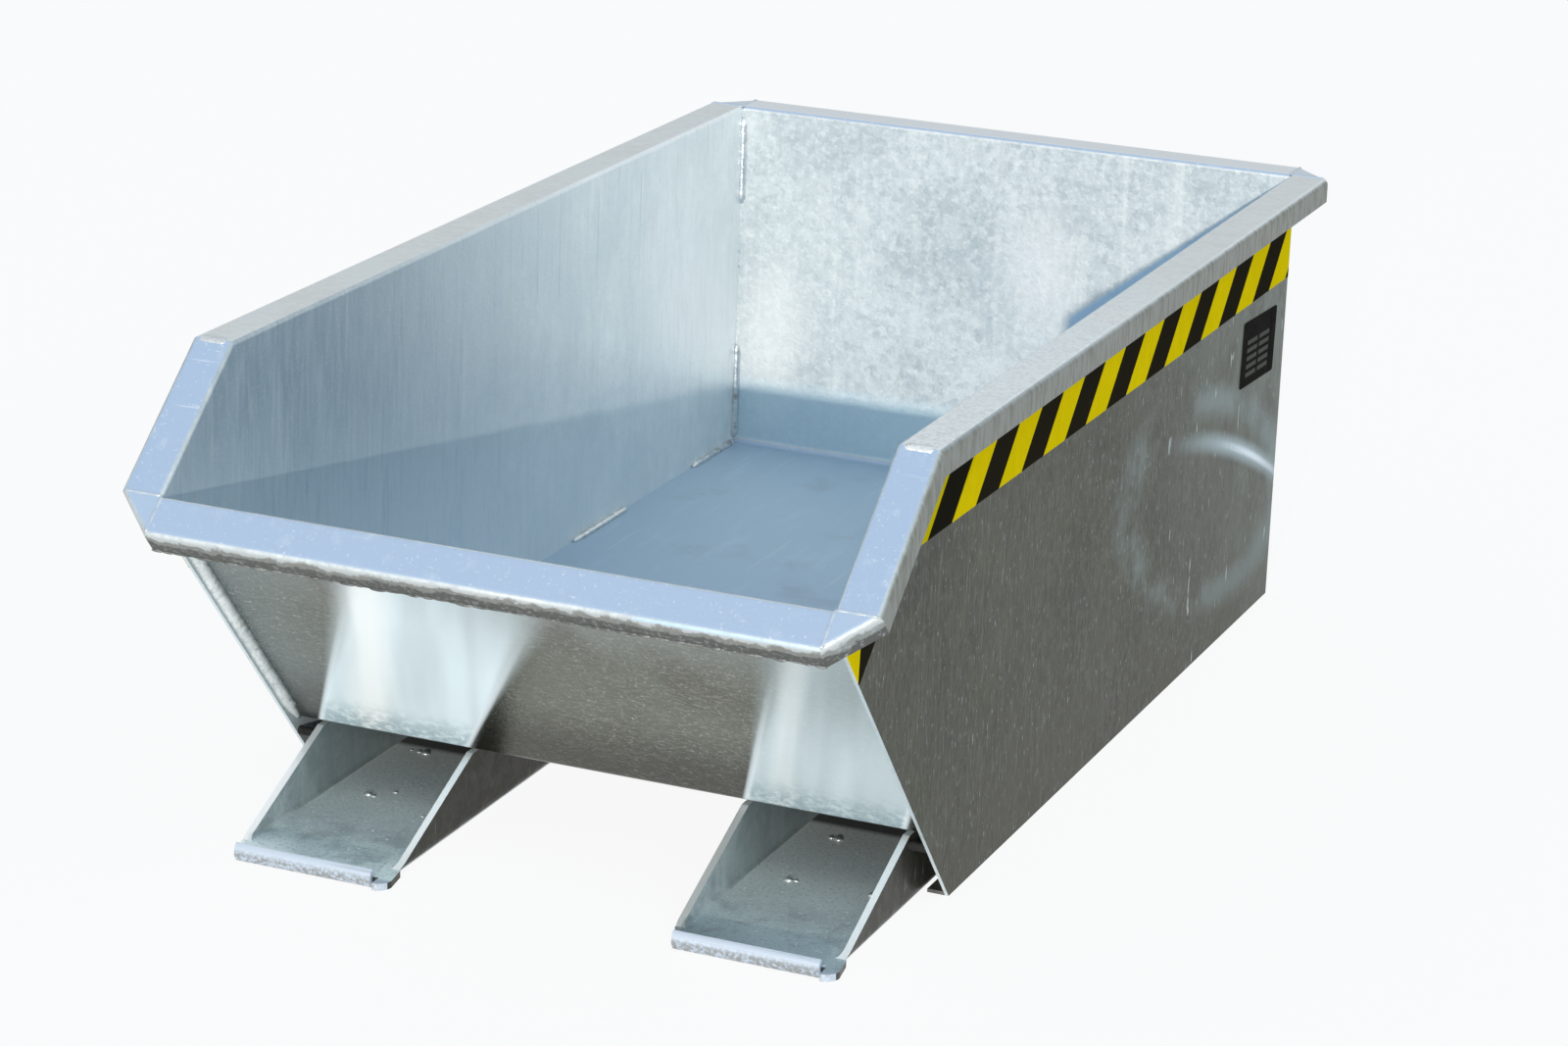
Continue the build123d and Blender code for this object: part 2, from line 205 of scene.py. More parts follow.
coat(shoe, curl, (0.58, 0.66, 0.76), 0.36, 0.6)
drawn_lines = patches(shoe, (4.0, 240.0, 240.0), 3.0, 0.50, 0.64)
coat(shoe, both(shoe, curl, drawn_lines), (0.40, 0.46, 0.52), 0.40, 0.6, 0.55)
curl_under = both(shoe, curl, toward(shoe, (0, -0.80, -0.60), 0.45, 0.95))
worn_spots = patches(shoe, 210.0, 5.0, 0.40, 0.56)
coat(shoe, both(shoe, curl_under, worn_spots), (0.24, 0.225, 0.19), 0.55, 0.4, 0.75)
curl_depth = away(shoe, (0, 1, 1), curl_middle)
shoe_x = lay(shoe, "SeparateXYZ", {0: shoe["spot"]}).outputs[0]
own_middle = figure(shoe, "MULTIPLY", figure(shoe, "SIGN", shoe_x), shoe_middle)
lip_side = figure(shoe, "SUBTRACT", shoe_x, own_middle)
# Painted shade: dark inside the hollow of the curled lip.
curl_hollow_shade = both(shoe, rise(shoe, curl_depth, *curl_bore), rise(shoe, lip_side, *lip_end))
coat(shoe, curl_hollow_shade, (0.050, 0.055, 0.060), 0.60, 0.0)
coat(shoe, toward(shoe, cut_slope, 0.975, 0.995), (0.86, 0.89, 0.90), 0.38, 0.6)
dress(("fork_shoe_left", "fork_shoe_right"), shoe)

shoe_side = zinc("shoe_side_zinc", (0.032, 0.030, 0.022), (0.056, 0.053, 0.043), 0.36, 0.0, gleam=0.12)
side_worn = patches(shoe_side, 3.0, 5.0, 0.35, 0.7)
side_front = beyond(shoe_side, (0, -1, 0), 0.46, 0.64)
coat(shoe_side, both(shoe_side, side_worn, side_front), (0.135, 0.128, 0.104), 0.36, 0.0)
side_rear = beyond(shoe_side, (0, 1, 0), -0.15, 0.10)
coat(shoe_side, side_rear, (0.25, 0.262, 0.25), 0.40, 0.0, 0.80)
side_stains = patches(shoe_side, (16.0, 16.0, 26.0), 6.0, 0.46, 0.66)
coat(shoe_side, both(shoe_side, side_rear, side_stains), (0.115, 0.112, 0.095), 0.50, 0.0, 0.6)
side_scratches = patches(shoe_side, (210.0, 210.0, 26.0), 2.0, 0.66, 0.74)
coat(shoe_side, both(shoe_side, side_scratches, side_worn), (0.60, 0.64, 0.65), 0.35, 0.0)
for name in ("fork_shoe_left", "fork_shoe_right"):
    channel = nodes[name].data
    channel.materials.append(shoe_side["paint"])
    for face in channel.polygons:
        off_middle = abs(abs(face.center.x) - shoe_middle)
        if abs(face.normal.x) > 0.9 and off_middle > shoe_half_inside + half_plate:
            face.material_index = 1


# Zinc drops: splashes that set on the bottoms of the shoes when they came out of the bath,
# flat underneath and shiny on top, left where they fell.
drop_spots = (
    (-0.303, -0.310, 0.0046), (-0.312, -0.309, 0.0030), (-0.323, -0.307, 0.0018), (-0.300, -0.455, 0.0046),
    (-0.292, -0.457, 0.0028), (-0.276, -0.435, 0.0026), (-0.215, -0.486, 0.0018), (0.224, -0.332, 0.0046),
    (0.215, -0.331, 0.0030), (0.221, -0.466, 0.0044), (0.229, -0.464, 0.0026), (0.318, -0.464, 0.0042),
)
drop_shape = (1.3, 1.0, 0.7)
drop_middle, drop_cut = 0.0078, 0.0079


def hang(name, data):
    """Put a mesh, a lamp or a camera into the scene."""
    hung = bpy.data.objects.new(name, data)
    bpy.context.scene.collection.objects.link(hung)
    return hung


def trim(shape, place, facing, **cleared):
    """Cut a shape along a plane and clear what lies on one side of it."""
    whole = shape.verts[:] + shape.edges[:] + shape.faces[:]
    bmesh.ops.bisect_plane(shape, geom=whole, plane_co=place, plane_no=facing, **cleared)


def make(name, shape, finish, smooth=True):
    """Turn a finished mesh shape into an object with its place in the mesh."""
    bmesh.ops.recalc_face_normals(shape, faces=shape.faces)
    mesh = bpy.data.meshes.new(name)
    shape.to_mesh(mesh)
    shape.free()
    mesh.materials.append(finish["paint"])
    for face in mesh.polygons:
        face.use_smooth = smooth
    return hang(name, mesh)


drop_zinc = zinc("drop_zinc", (0.70, 0.73, 0.74), (0.90, 0.92, 0.93), 0.26, 0.8)
drops = bmesh.new()
for drop_x, drop_y, size in drop_spots:
    squat = Matrix.Diagonal((*(size * share for share in drop_shape), 1.0))
    place = Matrix.Translation((drop_x, drop_y, drop_middle))
    bmesh.ops.create_icosphere(drops, subdivisions=2, radius=1.0, matrix=place @ squat)
trim(drops, (0, 0, drop_cut), (0, 0, 1), clear_inner=True)
bmesh.ops.holes_fill(drops, edges=drops.edges[:])
zinc_drops = make("zinc_drops", drops, drop_zinc)
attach(zinc_drops, "base")


# Pocket covers and cross tubes: flat plates on the channels and two square tubes between them,
# welded up and dipped with the shoes; they stay out of the weather and keep an even grey.
carrier = zinc("carrier_zinc", (0.27, 0.285, 0.29), (0.46, 0.48, 0.49), 0.42, 0.8)
coat(carrier, toward(carrier, (0, 0, -1), 0.8, 0.98), (0.20, 0.20, 0.185), 0.55, 0.6)
dress(("pocket_cover_left", "pocket_cover_right", "cross_tube_front", "cross_tube_rear"), carrier)


# Tube welds: a short fillet run down the front and the back of each tube end, laid by hand where the
# tube meets the shoe, and dipped in zinc with the rest of the base.
tube_ends = 0.163
tube_faces = (-0.276, -0.216, 0.682, 0.742)
tube_reach = (0.022, 0.064)
tube_bead = 0.004
ripple_pitch, unevenness = 0.0048, 310
bead_sides, end_share, end_rounding = 10, 0.35, 1.5


def drawn_bar(sides, radius, length, cuts):
    """A straight bar upright on its middle, with its long edges cut into even steps."""
    bar = bmesh.new()
    bmesh.ops.create_cone(bar, cap_ends=True, segments=sides, radius1=radius, radius2=radius, depth=length)
    long_edges = [edge for edge in bar.edges if abs(edge.verts[0].co.z - edge.verts[1].co.z) > length / 2]
    bmesh.ops.subdivide_edges(bar, edges=long_edges, cuts=cuts)
    return bar


def join(shape, part):
    """Add a finished part to a shape."""
    laid = bpy.data.meshes.new("run_of_weld")
    part.to_mesh(laid)
    part.free()
    shape.from_mesh(laid)
    bpy.data.meshes.remove(laid)


def bead(shape, start, end, radius, ripple=0.07):
    """Add one run of weld between two points: a bar drawn out in ripples, with rounded ends."""
    start, end = Vector(start), Vector(end)
    run = end - start
    ripples = max(3, round(run.length / ripple_pitch))
    bar = drawn_bar(bead_sides, radius, run.length, 2 * ripples - 1)
    for vert in bar.verts:
        along_run = vert.co.z + run.length / 2
        from_end = min(along_run, run.length - along_run)
        waves = math.cos(2 * math.pi * along_run / run.length * ripples) + math.sin(along_run * unevenness)
        round_end = min(1.0, end_share + (1 - end_share) * from_end / (end_rounding * radius))
        vert.co.x *= (1.0 + ripple * waves) * round_end
        vert.co.y *= (1.0 + ripple * waves) * round_end
    turn = run.to_track_quat("Z", "Y").to_matrix().to_4x4()
    bmesh.ops.transform(bar, matrix=Matrix.Translation((start + end) / 2) @ turn, verts=bar.verts)
    join(shape, bar)


weld_zinc = zinc("weld_zinc", (0.50, 0.55, 0.58), (0.82, 0.86, 0.88), 0.34, 0.8, relief=0.0009)
coat(weld_zinc, rise(weld_zinc, weld_zinc["mottle"], 0.58, 0.72), (0.36, 0.36, 0.34), 0.5, 0.6)
tube_runs = bmesh.new()
for side in (-1, 1):
    for face_y in tube_faces:
        bead(tube_runs, *((side * tube_ends, face_y, end_z) for end_z in tube_reach), tube_bead)
tube_welds = make("tube_welds", tube_runs, weld_zinc)
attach(tube_welds, "base")


# Latch: a flat plate on the rear tube with a shoulder pin, a stop stub, and the flat lever that hooks
# the tub's stud, held by a washer and split pin. All zinc-coated, rubbed bare where hand and hook slide.
latch = zinc("latch_zinc", (0.33, 0.34, 0.345), (0.55, 0.57, 0.58), 0.38, 0.85, flower=160.0, wave=0.001)
hand_end = both(latch, beyond(latch, (0, 0, 1), 0.29, 0.35), rise(latch, latch["clouds"], 0.40, 0.60))
coat(latch, hand_end, (0.62, 0.61, 0.59), 0.25, 0.9)
low_dirt = both(latch, beyond(latch, (0, 0, -1), -0.070, -0.005), patches(latch, 140.0, 6.0, 0.36, 0.64))
coat(latch, low_dirt, (0.25, 0.23, 0.195), 0.60, 0.4, 0.6)
dress(("latch_lever", "latch_plate"), latch)
pins = zinc("pin_zinc", (0.30, 0.30, 0.295), (0.54, 0.54, 0.53), 0.32, 0.9, flower=320.0, wave=0.0005)
turned_marks = patches(pins, (20.0, 900.0, 20.0), 2.0, 0.52, 0.66)
coat(pins, turned_marks, (0.22, 0.215, 0.20), 0.42, 0.85, 0.5)
dress(("latch_pivot", "latch_stop", "latch_washer", "latch_split_pin", "striker_stud", "striker_cap"), pins)


# Hinge pins: short round steel bars welded under the front corners of the tub and turning in the shoes,
# painted near-black as shade in the gap where they sit, with dull grey ends.
pin_shade = zinc(
    "hinge_pin_shade", (0.012, 0.012, 0.012), (0.034, 0.033, 0.031), 0.70, 0.0,
    flower=300.0, wave=0.0005, gleam=0.15,
)
coat(pin_shade, rise(pin_shade, pin_shade["mottle"], 0.50, 0.66), (0.040, 0.032, 0.024), 0.80, 0.0)
for end in (-1, 1):
    coat(pin_shade, toward(pin_shade, (end, 0, 0), 0.90, 0.98), (0.30, 0.36, 0.37), 0.45, 0.3)
dress(("hinge_pin_left", "hinge_pin_right"), pin_shade)


# Tub sheet: one strip of zinc-coated sheet bent into front rim, front wall, floor, back wall and back rim.
# Bright inside, with painted glows and a painted blue shade low on the back wall, a floor worn by loads
# whose blue-grey is painted shade, a sky-blue painted reflection on the sloping rim, and a glossy front wall
# painted dark for the ground it mirrors, darker towards the foot, with painted light thrown up from the
# shoes over each of them.
wall_out = (0.0, -0.755, -0.656)
rim_slant = (0.0, -0.656, 0.755)
shine_foot = 0.0923
shine_half = 0.0935
left_lean, left_widening, right_lean, column_lean, halving_lean = 0.8685, 0.7276, 0.480, 0.395, 0.60
left_column, right_column = -0.282, 0.211
back_wall_glows = ((-0.325, 0.262, 0.55), (0.048, 0.392, 0.62))
shade_line, shade_back = (0.616, 0, -0.788), (-0.616, 0, 0.788)
ragged_reach = 0.028


def ragged_level(finish):
    """Height square to the sloping rim, made uneven for the darker lower edge below it."""
    ragged = figure(finish, "SUBTRACT", cloud(finish, 55.0, 8.0), 0.5)
    ragged = figure(finish, "MULTIPLY", ragged, ragged_reach)
    return figure(finish, "ADD", along(finish, rim_slant), ragged)


tub = zinc("tub_zinc", (0.50, 0.555, 0.58), (0.68, 0.725, 0.735), 0.48, 0.50)
white_runs = patches(tub, (40.0, 40.0, 1.6), 3.0, 0.54, 0.70)
coat(tub, white_runs, (0.82, 0.84, 0.83), 0.55, 0.4, 0.40)
blue_clouds = patches(tub, 4.0, 5.0, 0.52, 0.70)
coat(tub, blue_clouds, (0.54, 0.62, 0.68), 0.46, 0.5, 0.45)
back_face = toward(tub, (0, -1, 0), 0.90, 0.98)
# Painted reflection: two soft pale glows on the back wall.
for glow_x, glow_z, tall in back_wall_glows:
    off_glow = away(tub, (1, 0, tall), (glow_x, 0.0, glow_z * tall))
    painted_glow = both(tub, back_face, rise(tub, off_glow, 0.085, 0.010, 0.0, 0.42))
    coat(tub, painted_glow, (0.97, 0.96, 0.95), 0.50, 0.2)
spangle = patches(tub, 115.0, 5.0, 0.50, 0.60)
coat(tub, both(tub, back_face, spangle), (0.86, 0.895, 0.905), 0.46, 0.5, 0.30)
grey_flowers = patches(tub, 85.0, 5.0, 0.53, 0.63)
coat(tub, both(tub, back_face, blue_clouds, grey_flowers), (0.44, 0.52, 0.575), 0.46, 0.5, 0.45)
# Painted shade: a blue tint over the low band of the back wall, lifted towards its right end.
painted_low_shade = both(tub, back_face, beyond(tub, (0, 0, -1), -0.200, -0.165))
coat(tub, painted_low_shade, (0.60, 0.79, 0.90), 0.48, 0.30, 0.70)
painted_low_shade_right = both(tub, painted_low_shade, beyond(tub, (1, 0, 0), -0.30, -0.05))
coat(tub, painted_low_shade_right, (0.85, 1.0, 1.0), 0.48, 0.30, 0.40)
# Painted shadow: a blue tint on the back wall beside the right rim, where its shadow falls, fading
# downwards.
past_rim = beyond(tub, shade_line, -0.2105, -0.2030)
near_rim = beyond(tub, shade_back, 0.010, 0.190)
painted_rim_shadow = both(tub, back_face, past_rim, near_rim, beyond(tub, (1, 0, 0), 0.084, 0.104))
coat(tub, painted_rim_shadow, (0.50, 0.75, 0.98), 0.50, 0.10, 0.70)
# Painted shade: the floor's blue-grey stands in for the shade it lies in under the sky.
floor_share = both(tub, toward(tub, (0, 0, 1), 0.55, 0.95), beyond(tub, (0, 0, -1), -0.20, -0.10))
coat(tub, floor_share, (0.43, 0.565, 0.685), 0.50, 0.20)
load_marks = patches(tub, (30.0, 5.0, 30.0), 4.0, 0.54, 0.74)
coat(tub, both(tub, floor_share, load_marks), (0.52, 0.66, 0.80), 0.45, 0.3, 0.5)
load_stains = patches(tub, 9.0, 6.0, 0.54, 0.72)
coat(tub, both(tub, floor_share, load_stains), (0.34, 0.42, 0.49), 0.55, 0.2, 0.45)
shovel_marks = patches(tub, (170.0, 5.0, 40.0), 3.0, 0.62, 0.72)
coat(tub, both(tub, floor_share, shovel_marks), (0.62, 0.70, 0.77), 0.45, 0.3, 0.42)
under = toward(tub, (0, 0, -1), 0.80, 0.98)
coat(tub, under, (0.22, 0.225, 0.21), 0.50, 0.6, 0.80)
# Painted reflection: the front wall's outer face is painted dark in place of the dark ground it would
# mirror.
front_out = both(tub, toward(tub, wall_out, 0.90, 0.99), beyond(tub, (0, 1, 0), -0.776, -0.770))
coat(tub, front_out, (0.128, 0.140, 0.112), 0.26, 0.85)
under_rim = both(tub, front_out, beyond(tub, (0, 0, 1), 0.27, 0.40))
coat(tub, under_rim, (0.30, 0.335, 0.335), 0.28, 0.85, 0.8)
# Painted shade: darker towards the foot of the front wall.
low_shade = both(tub, front_out, beyond(tub, (0, 0, -1), -0.22, -0.10))
coat(tub, low_shade, (0.028, 0.028, 0.019), 0.26, 0.85, 0.92)
# Painted reflection: dark brownish blotches mirrored from the ground.
reflected_blotches = patches(tub, (9.0, 9.0, 5.0), 3.0, 0.50, 0.66)
coat(tub, both(tub, front_out, reflected_blotches), (0.085, 0.076, 0.056), 0.26, 0.85, 0.5)
cool_end = both(tub, front_out, beyond(tub, (-1, 0, 0), 0.22, 0.36))
coat(tub, cool_end, (0.160, 0.205, 0.215), 0.26, 0.85, 0.6)
brushed = patches(tub, (90.0, 300.0, 300.0), 7.0, 0.46, 0.66)
grain_share = rise(tub, cloud(tub, 2.2, 3.0), 0.35, 0.62, 0.24, 0.46)
coat(tub, both(tub, front_out, brushed, grain_share), (0.285, 0.302, 0.258), 0.30, 0.8)
pale_specks = patches(tub, 230.0, 3.0, 0.56, 0.68)
coat(tub, both(tub, front_out, pale_specks, grain_share), (0.46, 0.49, 0.46), 0.36, 0.7)
# Painted shade: darker again at the very foot.
foot_shade = both(tub, front_out, beyond(tub, (0, 0, -1), -0.20, -0.11))
coat(tub, foot_shade, (0.030, 0.029, 0.019), 0.30, 0.8, 0.56)
# Painted light: a bright patch thrown up from each shoe floor onto the front wall above it, leaning
# sideways, with painted light columns, a darker teal band at its foot and painted glints along its edges.
tub_x, _, tub_z = lay(tub, "SeparateXYZ", {0: tub["spot"]}).outputs
rise_up = figure(tub, "SUBTRACT", tub_z, shine_foot)
halving = figure(tub, "SUBTRACT", tub_x, figure(tub, "MULTIPLY", rise_up, halving_lean))
right_half = figure(tub, "GREATER_THAN", halving, 0.0)
lean_by = figure(tub, "MULTIPLY", rise_up, rise(tub, right_half, 0.0, 1.0, left_lean, right_lean))
widen_by = figure(tub, "MULTIPLY", rise_up, rise(tub, right_half, 0.0, 1.0, left_widening, 0.0))
shifted = figure(tub, "SUBTRACT", tub_x, lean_by)
leaning = figure(tub, "DIVIDE", shifted, figure(tub, "ADD", 1.0, widen_by))
own_shoe = figure(tub, "MULTIPLY", figure(tub, "SIGN", halving), shoe_middle)
across = figure(tub, "SUBTRACT", leaning, own_shoe)
off_shoe = figure(tub, "ABSOLUTE", across)
softening = rise(tub, tub_z, 0.10, 0.40, 0.003, 0.030)
inside_edge = figure(tub, "SUBTRACT", shine_half, softening)
outside_edge = figure(tub, "ADD", shine_half, softening)
over_shoe = rise(tub, off_shoe, outside_edge, inside_edge)
upright_x = figure(tub, "SUBTRACT", tub_x, figure(tub, "MULTIPLY", rise_up, column_lean))
column_place = lay(tub, "CombineXYZ", {0: upright_x, 2: tub_z}).outputs[0]
column_spot = lay(tub, "Mapping", {"Vector": column_place, "Scale": (21.0, 1.0, 2.6)}).outputs[0]
columns = lay(tub, "TexNoise", {"Vector": column_spot, "Scale": 1.0, "Detail": 2.0}).outputs["Fac"]
lit_columns = rise(tub, columns, 0.34, 0.60, 0.86, 1.0)
left_fading = rise(tub, tub_z, 0.43, 0.28, 0.62, 1.0)
right_fading = rise(tub, tub_z, 0.36, 0.16, 0.50, 0.92)
fading = lay(tub, "Mix", {0: right_half, 2: left_fading, 3: right_fading}).outputs[0]
far_side = both(tub, rise(tub, across, -0.03, 0.09), rise(tub, tub_z, 0.20, 0.40))
side_fading = figure(tub, "SUBTRACT", 1.0, figure(tub, "MULTIPLY", far_side, 0.5))
painted_shoe_light = both(tub, front_out, over_shoe, lit_columns, fading, side_fading)
coat(tub, painted_shoe_light, (0.84, 0.935, 0.96), 0.55, 0.10)
column_width = rise(tub, right_half, 0.0, 1.0, 0.046, 0.024)
column_share = rise(tub, right_half, 0.0, 1.0, 0.95, 0.50)
column_middle = rise(tub, right_half, 0.0, 1.0, left_column, right_column)
off_column = gap(tub, upright_x, column_middle)
painted_column = rise(tub, off_column, column_width, 0.003)
broken_column = rise(tub, columns, 0.30, 0.55, 0.50, 1.0)
column_light = both(tub, front_out, painted_column, column_share, broken_column, fading)
coat(tub, column_light, (1.0, 1.0, 0.97), 0.55, 0.05)
patch_foot_spots = patches(tub, 95.0, 4.0, 0.30, 0.62)
patch_foot_band = both(tub, front_out, over_shoe, rise(tub, tub_z, 0.150, 0.098), patch_foot_spots)
coat(tub, patch_foot_band, (0.26, 0.38, 0.42), 0.50, 0.10, 0.72)
glint = both(tub, front_out, rise(tub, off_shoe, 0.086, 0.091), rise(tub, off_shoe, 0.098, 0.093))
glint = both(tub, glint, rise(tub, tub_z, 0.34, 0.16))
coat(tub, glint, (0.92, 0.98, 1.0), 0.50, 0.1, 0.55)
back_out = both(tub, toward(tub, (0, 1, 0), 0.90, 0.99), beyond(tub, (0, 0, -1), -0.60, -0.54))
coat(tub, back_out, (0.30, 0.31, 0.30), 0.40, 0.6, 0.78)
back_runs = patches(tub, (70.0, 70.0, 2.2), 5.0, 0.48, 0.68)
coat(tub, both(tub, back_out, back_runs), (0.50, 0.52, 0.52), 0.46, 0.5, 0.5)
back_stains = patches(tub, 5.0, 6.0, 0.48, 0.66)
coat(tub, both(tub, back_out, back_stains), (0.19, 0.20, 0.19), 0.42, 0.6, 0.55)
back_mottle = patches(tub, 100.0, 5.0, 0.48, 0.64)
coat(tub, both(tub, back_out, back_mottle), (0.46, 0.48, 0.48), 0.46, 0.5, 0.40)
back_scuffs = patches(tub, (14.0, 14.0, 150.0), 3.0, 0.66, 0.73)
coat(tub, both(tub, back_out, back_scuffs), (0.60, 0.61, 0.61), 0.40, 0.6, 0.5)
coat(tub, both(tub, under, back_stains), (0.145, 0.140, 0.118), 0.60, 0.3, 0.55)
coat(tub, both(tub, under, back_mottle), (0.36, 0.37, 0.36), 0.50, 0.5, 0.35)
splashed = both(tub, back_out, beyond(tub, (0, 0, -1), -0.26, -0.08), patches(tub, 34.0, 6.0, 0.36, 0.62))
coat(tub, splashed, (0.165, 0.150, 0.120), 0.65, 0.2, 0.6)
# Painted reflection: the sloping rim tinted sky blue.
painted_sky_rim = toward(tub, rim_slant, 0.90, 0.985)
coat(tub, painted_sky_rim, (0.41, 0.525, 0.685), 0.46, 0.5)
rim_scuffs = patches(tub, 40.0, 7.0, 0.54, 0.74)
coat(tub, both(tub, painted_sky_rim, rim_scuffs), (0.56, 0.65, 0.77), 0.5, 0.5, 0.55)
rim_specks = patches(tub, 240.0, 2.0, 0.62, 0.72)
coat(tub, both(tub, painted_sky_rim, rim_specks), (0.70, 0.76, 0.83), 0.5, 0.5, 0.6)
back_rim = both(tub, toward(tub, (0, 0, 1), 0.85, 0.98), beyond(tub, (0, 0, 1), 0.50, 0.55))
coat(tub, back_rim, (0.80, 0.785, 0.755), 0.66, 0.3, 0.85)
# The folded front edge: lighter along the fold, darker towards the lower edge.
front_edge = both(tub, toward(tub, wall_out, 0.55, 0.95), beyond(tub, (0, -1, 0), 0.770, 0.778))
coat(tub, front_edge, (0.52, 0.54, 0.53), 0.50, 0.4)
tub_level = ragged_level(tub)
edge_lower = rise(tub, tub_level, 0.8238, 0.8203)
coat(tub, both(tub, front_edge, edge_lower), (0.235, 0.235, 0.210), 0.60, 0.1)
edge_dark = rise(tub, tub_level, 0.8155, 0.8122)
coat(tub, both(tub, front_edge, edge_dark), (0.085, 0.088, 0.080), 0.60, 0.1)
crust = patches(tub, 170.0, 6.0, 0.50, 0.66)
coat(tub, both(tub, front_edge, edge_lower, crust), (0.38, 0.39, 0.37), 0.60, 0.1, 0.45)
dress(("tub_sheet",), tub)


# Side walls: one plate each, rim folded out along the top and the slope, and run down as a skirt to the
# ground. Bright and streaked inside, with painted shade towards the front, a painted glow towards the rear
# and a sky-blue painted reflection on the sloping rim; outside dark with rain streaks, the dark painted in
# place of the ground it mirrors, with a painted sheen towards the rear and a painted highlight along a dent.
flange_inside = 0.424
inner_glow = (0, 0.565, 0.335)
ring_axis, ring_side = (0, 0.966, -0.259), (0, 0.259, 0.966)
ring_middle, ring_reach = (0.390, 0.322), (0.33, 0.125)
crease_axis, crease_side = (0, 0.946, -0.323), (0, 0.323, 0.946)
crease_middle, crease_reach, crease_height, crease_bend = 0.428, 0.23, 0.4189, -0.0167


def off_by(finish, value, middle, unit):
    """How far a value lies off a middle, counted in units."""
    return figure(finish, "DIVIDE", figure(finish, "SUBTRACT", value, middle), unit)


walls = zinc("wall_zinc", (0.80, 0.855, 0.855), (0.92, 0.96, 0.95), 0.36, 0.45, streaky=0.14)
# Painted shade: the inside faces darker towards the front.
front_shade = beyond(walls, (0, -1, 0), -0.45, 0.60)
coat(walls, front_shade, (0.31, 0.385, 0.43), 0.36, 0.45, 0.92)
wall_low = beyond(walls, (0, -0.30, -1), -0.36, -0.06)
coat(walls, wall_low, (0.81, 0.90, 0.92), 0.38, 0.35, 0.72)
wall_white = patches(walls, (52.0, 52.0, 3.4), 4.0, 0.56, 0.72)
coat(walls, wall_white, (0.84, 0.87, 0.86), 0.48, 0.45, 0.24)
wall_clouds = patches(walls, (9.0, 9.0, 5.5), 5.0, 0.44, 0.64)
coat(walls, wall_clouds, (0.60, 0.69, 0.73), 0.44, 0.45, 0.22)
# Painted reflection: a soft white glow towards the rear of the inside face.
off_inner_glow = away(walls, (0, 1, 1), inner_glow)
coat(walls, rise(walls, off_inner_glow, 0.19, 0.02, 0.0, 0.50), (0.98, 1.0, 1.0), 0.44, 0.30)
fine_runs = patches(walls, (110.0, 110.0, 14.0), 6.0, 0.42, 0.66)
coat(walls, fine_runs, (0.70, 0.73, 0.71), 0.46, 0.45, 0.26)
dark_runs = patches(walls, (80.0, 80.0, 8.0), 6.0, 0.52, 0.70)
coat(walls, both(walls, front_shade, dark_runs), (0.26, 0.36, 0.43), 0.40, 0.45, 0.30)
fine_specks = patches(walls, 260.0, 3.0, 0.54, 0.70)
coat(walls, fine_specks, (0.84, 0.87, 0.87), 0.46, 0.45, 0.28)
wall_brown = patches(walls, (110.0, 110.0, 5.0), 4.0, 0.60, 0.74)
brown_share = beyond(walls, (0, -0.25, 1), 0.20, 0.55)
coat(walls, both(walls, brown_share, wall_brown), (0.42, 0.41, 0.37), 0.5, 0.45, 0.55)
wall_x = lay(walls, "SeparateXYZ", {0: walls["spot"]}).outputs[0]
wall_side = figure(walls, "ABSOLUTE", wall_x)
wall_turn = lay(walls, "SeparateXYZ", {0: walls["facing"]}).outputs[0]
outward = figure(walls, "MULTIPLY", wall_turn, figure(walls, "SIGN", wall_x))
level_rim = both(walls, toward(walls, (0, 0, 1), 0.86, 0.98), beyond(walls, (0, 0, 1), 0.50, 0.55))
coat(walls, level_rim, (0.64, 0.645, 0.62), 0.50, 0.45)
dust_tone = figure(walls, "ADD", cloud(walls, 9.0, 6.0), figure(walls, "MULTIPLY", walls["mottle"], 0.5))
dust = rise(walls, dust_tone, 0.54, 0.84)
coat(walls, both(walls, level_rim, dust), (0.86, 0.82, 0.745), 0.80, 0.10)
near_front = beyond(walls, (0.90, -1, 0), 0.0, 0.65)
settled = both(walls, level_rim, near_front, rise(walls, walls["grain"], 0.35, 0.60))
coat(walls, settled, (1.0, 0.97, 0.90), 0.80, 0.10, 0.92)
# Painted reflection: the sloping rim tinted sky blue.
slope_rim = toward(walls, rim_slant, 0.90, 0.985)
coat(walls, slope_rim, (0.395, 0.51, 0.67), 0.46, 0.45)
slope_scuffs = patches(walls, 40.0, 7.0, 0.54, 0.74)
coat(walls, both(walls, slope_rim, slope_scuffs), (0.56, 0.65, 0.77), 0.5, 0.45, 0.55)
slope_scratches = patches(walls, (7.0, 110.0, 110.0), 2.0, 0.68, 0.74)
coat(walls, both(walls, slope_rim, slope_scratches), (0.76, 0.81, 0.87), 0.5, 0.45, 0.5)
slope_specks = patches(walls, 240.0, 2.0, 0.62, 0.72)
coat(walls, both(walls, slope_rim, slope_specks), (0.70, 0.76, 0.83), 0.5, 0.45, 0.6)
flange_place = rise(walls, wall_side, flange_inside - 0.004, flange_inside + 0.003)
flange = both(walls, rise(walls, outward, 0.35, 0.95), flange_place)
coat(walls, flange, (0.235, 0.243, 0.215), 0.45, 0.20)
flange_dirt = patches(walls, (60.0, 120.0, 22.0), 6.0, 0.44, 0.62)
coat(walls, both(walls, flange, flange_dirt), (0.125, 0.122, 0.088), 0.5, 0.20, 0.62)
dress(("side_wall_left", "side_wall_right"), walls)

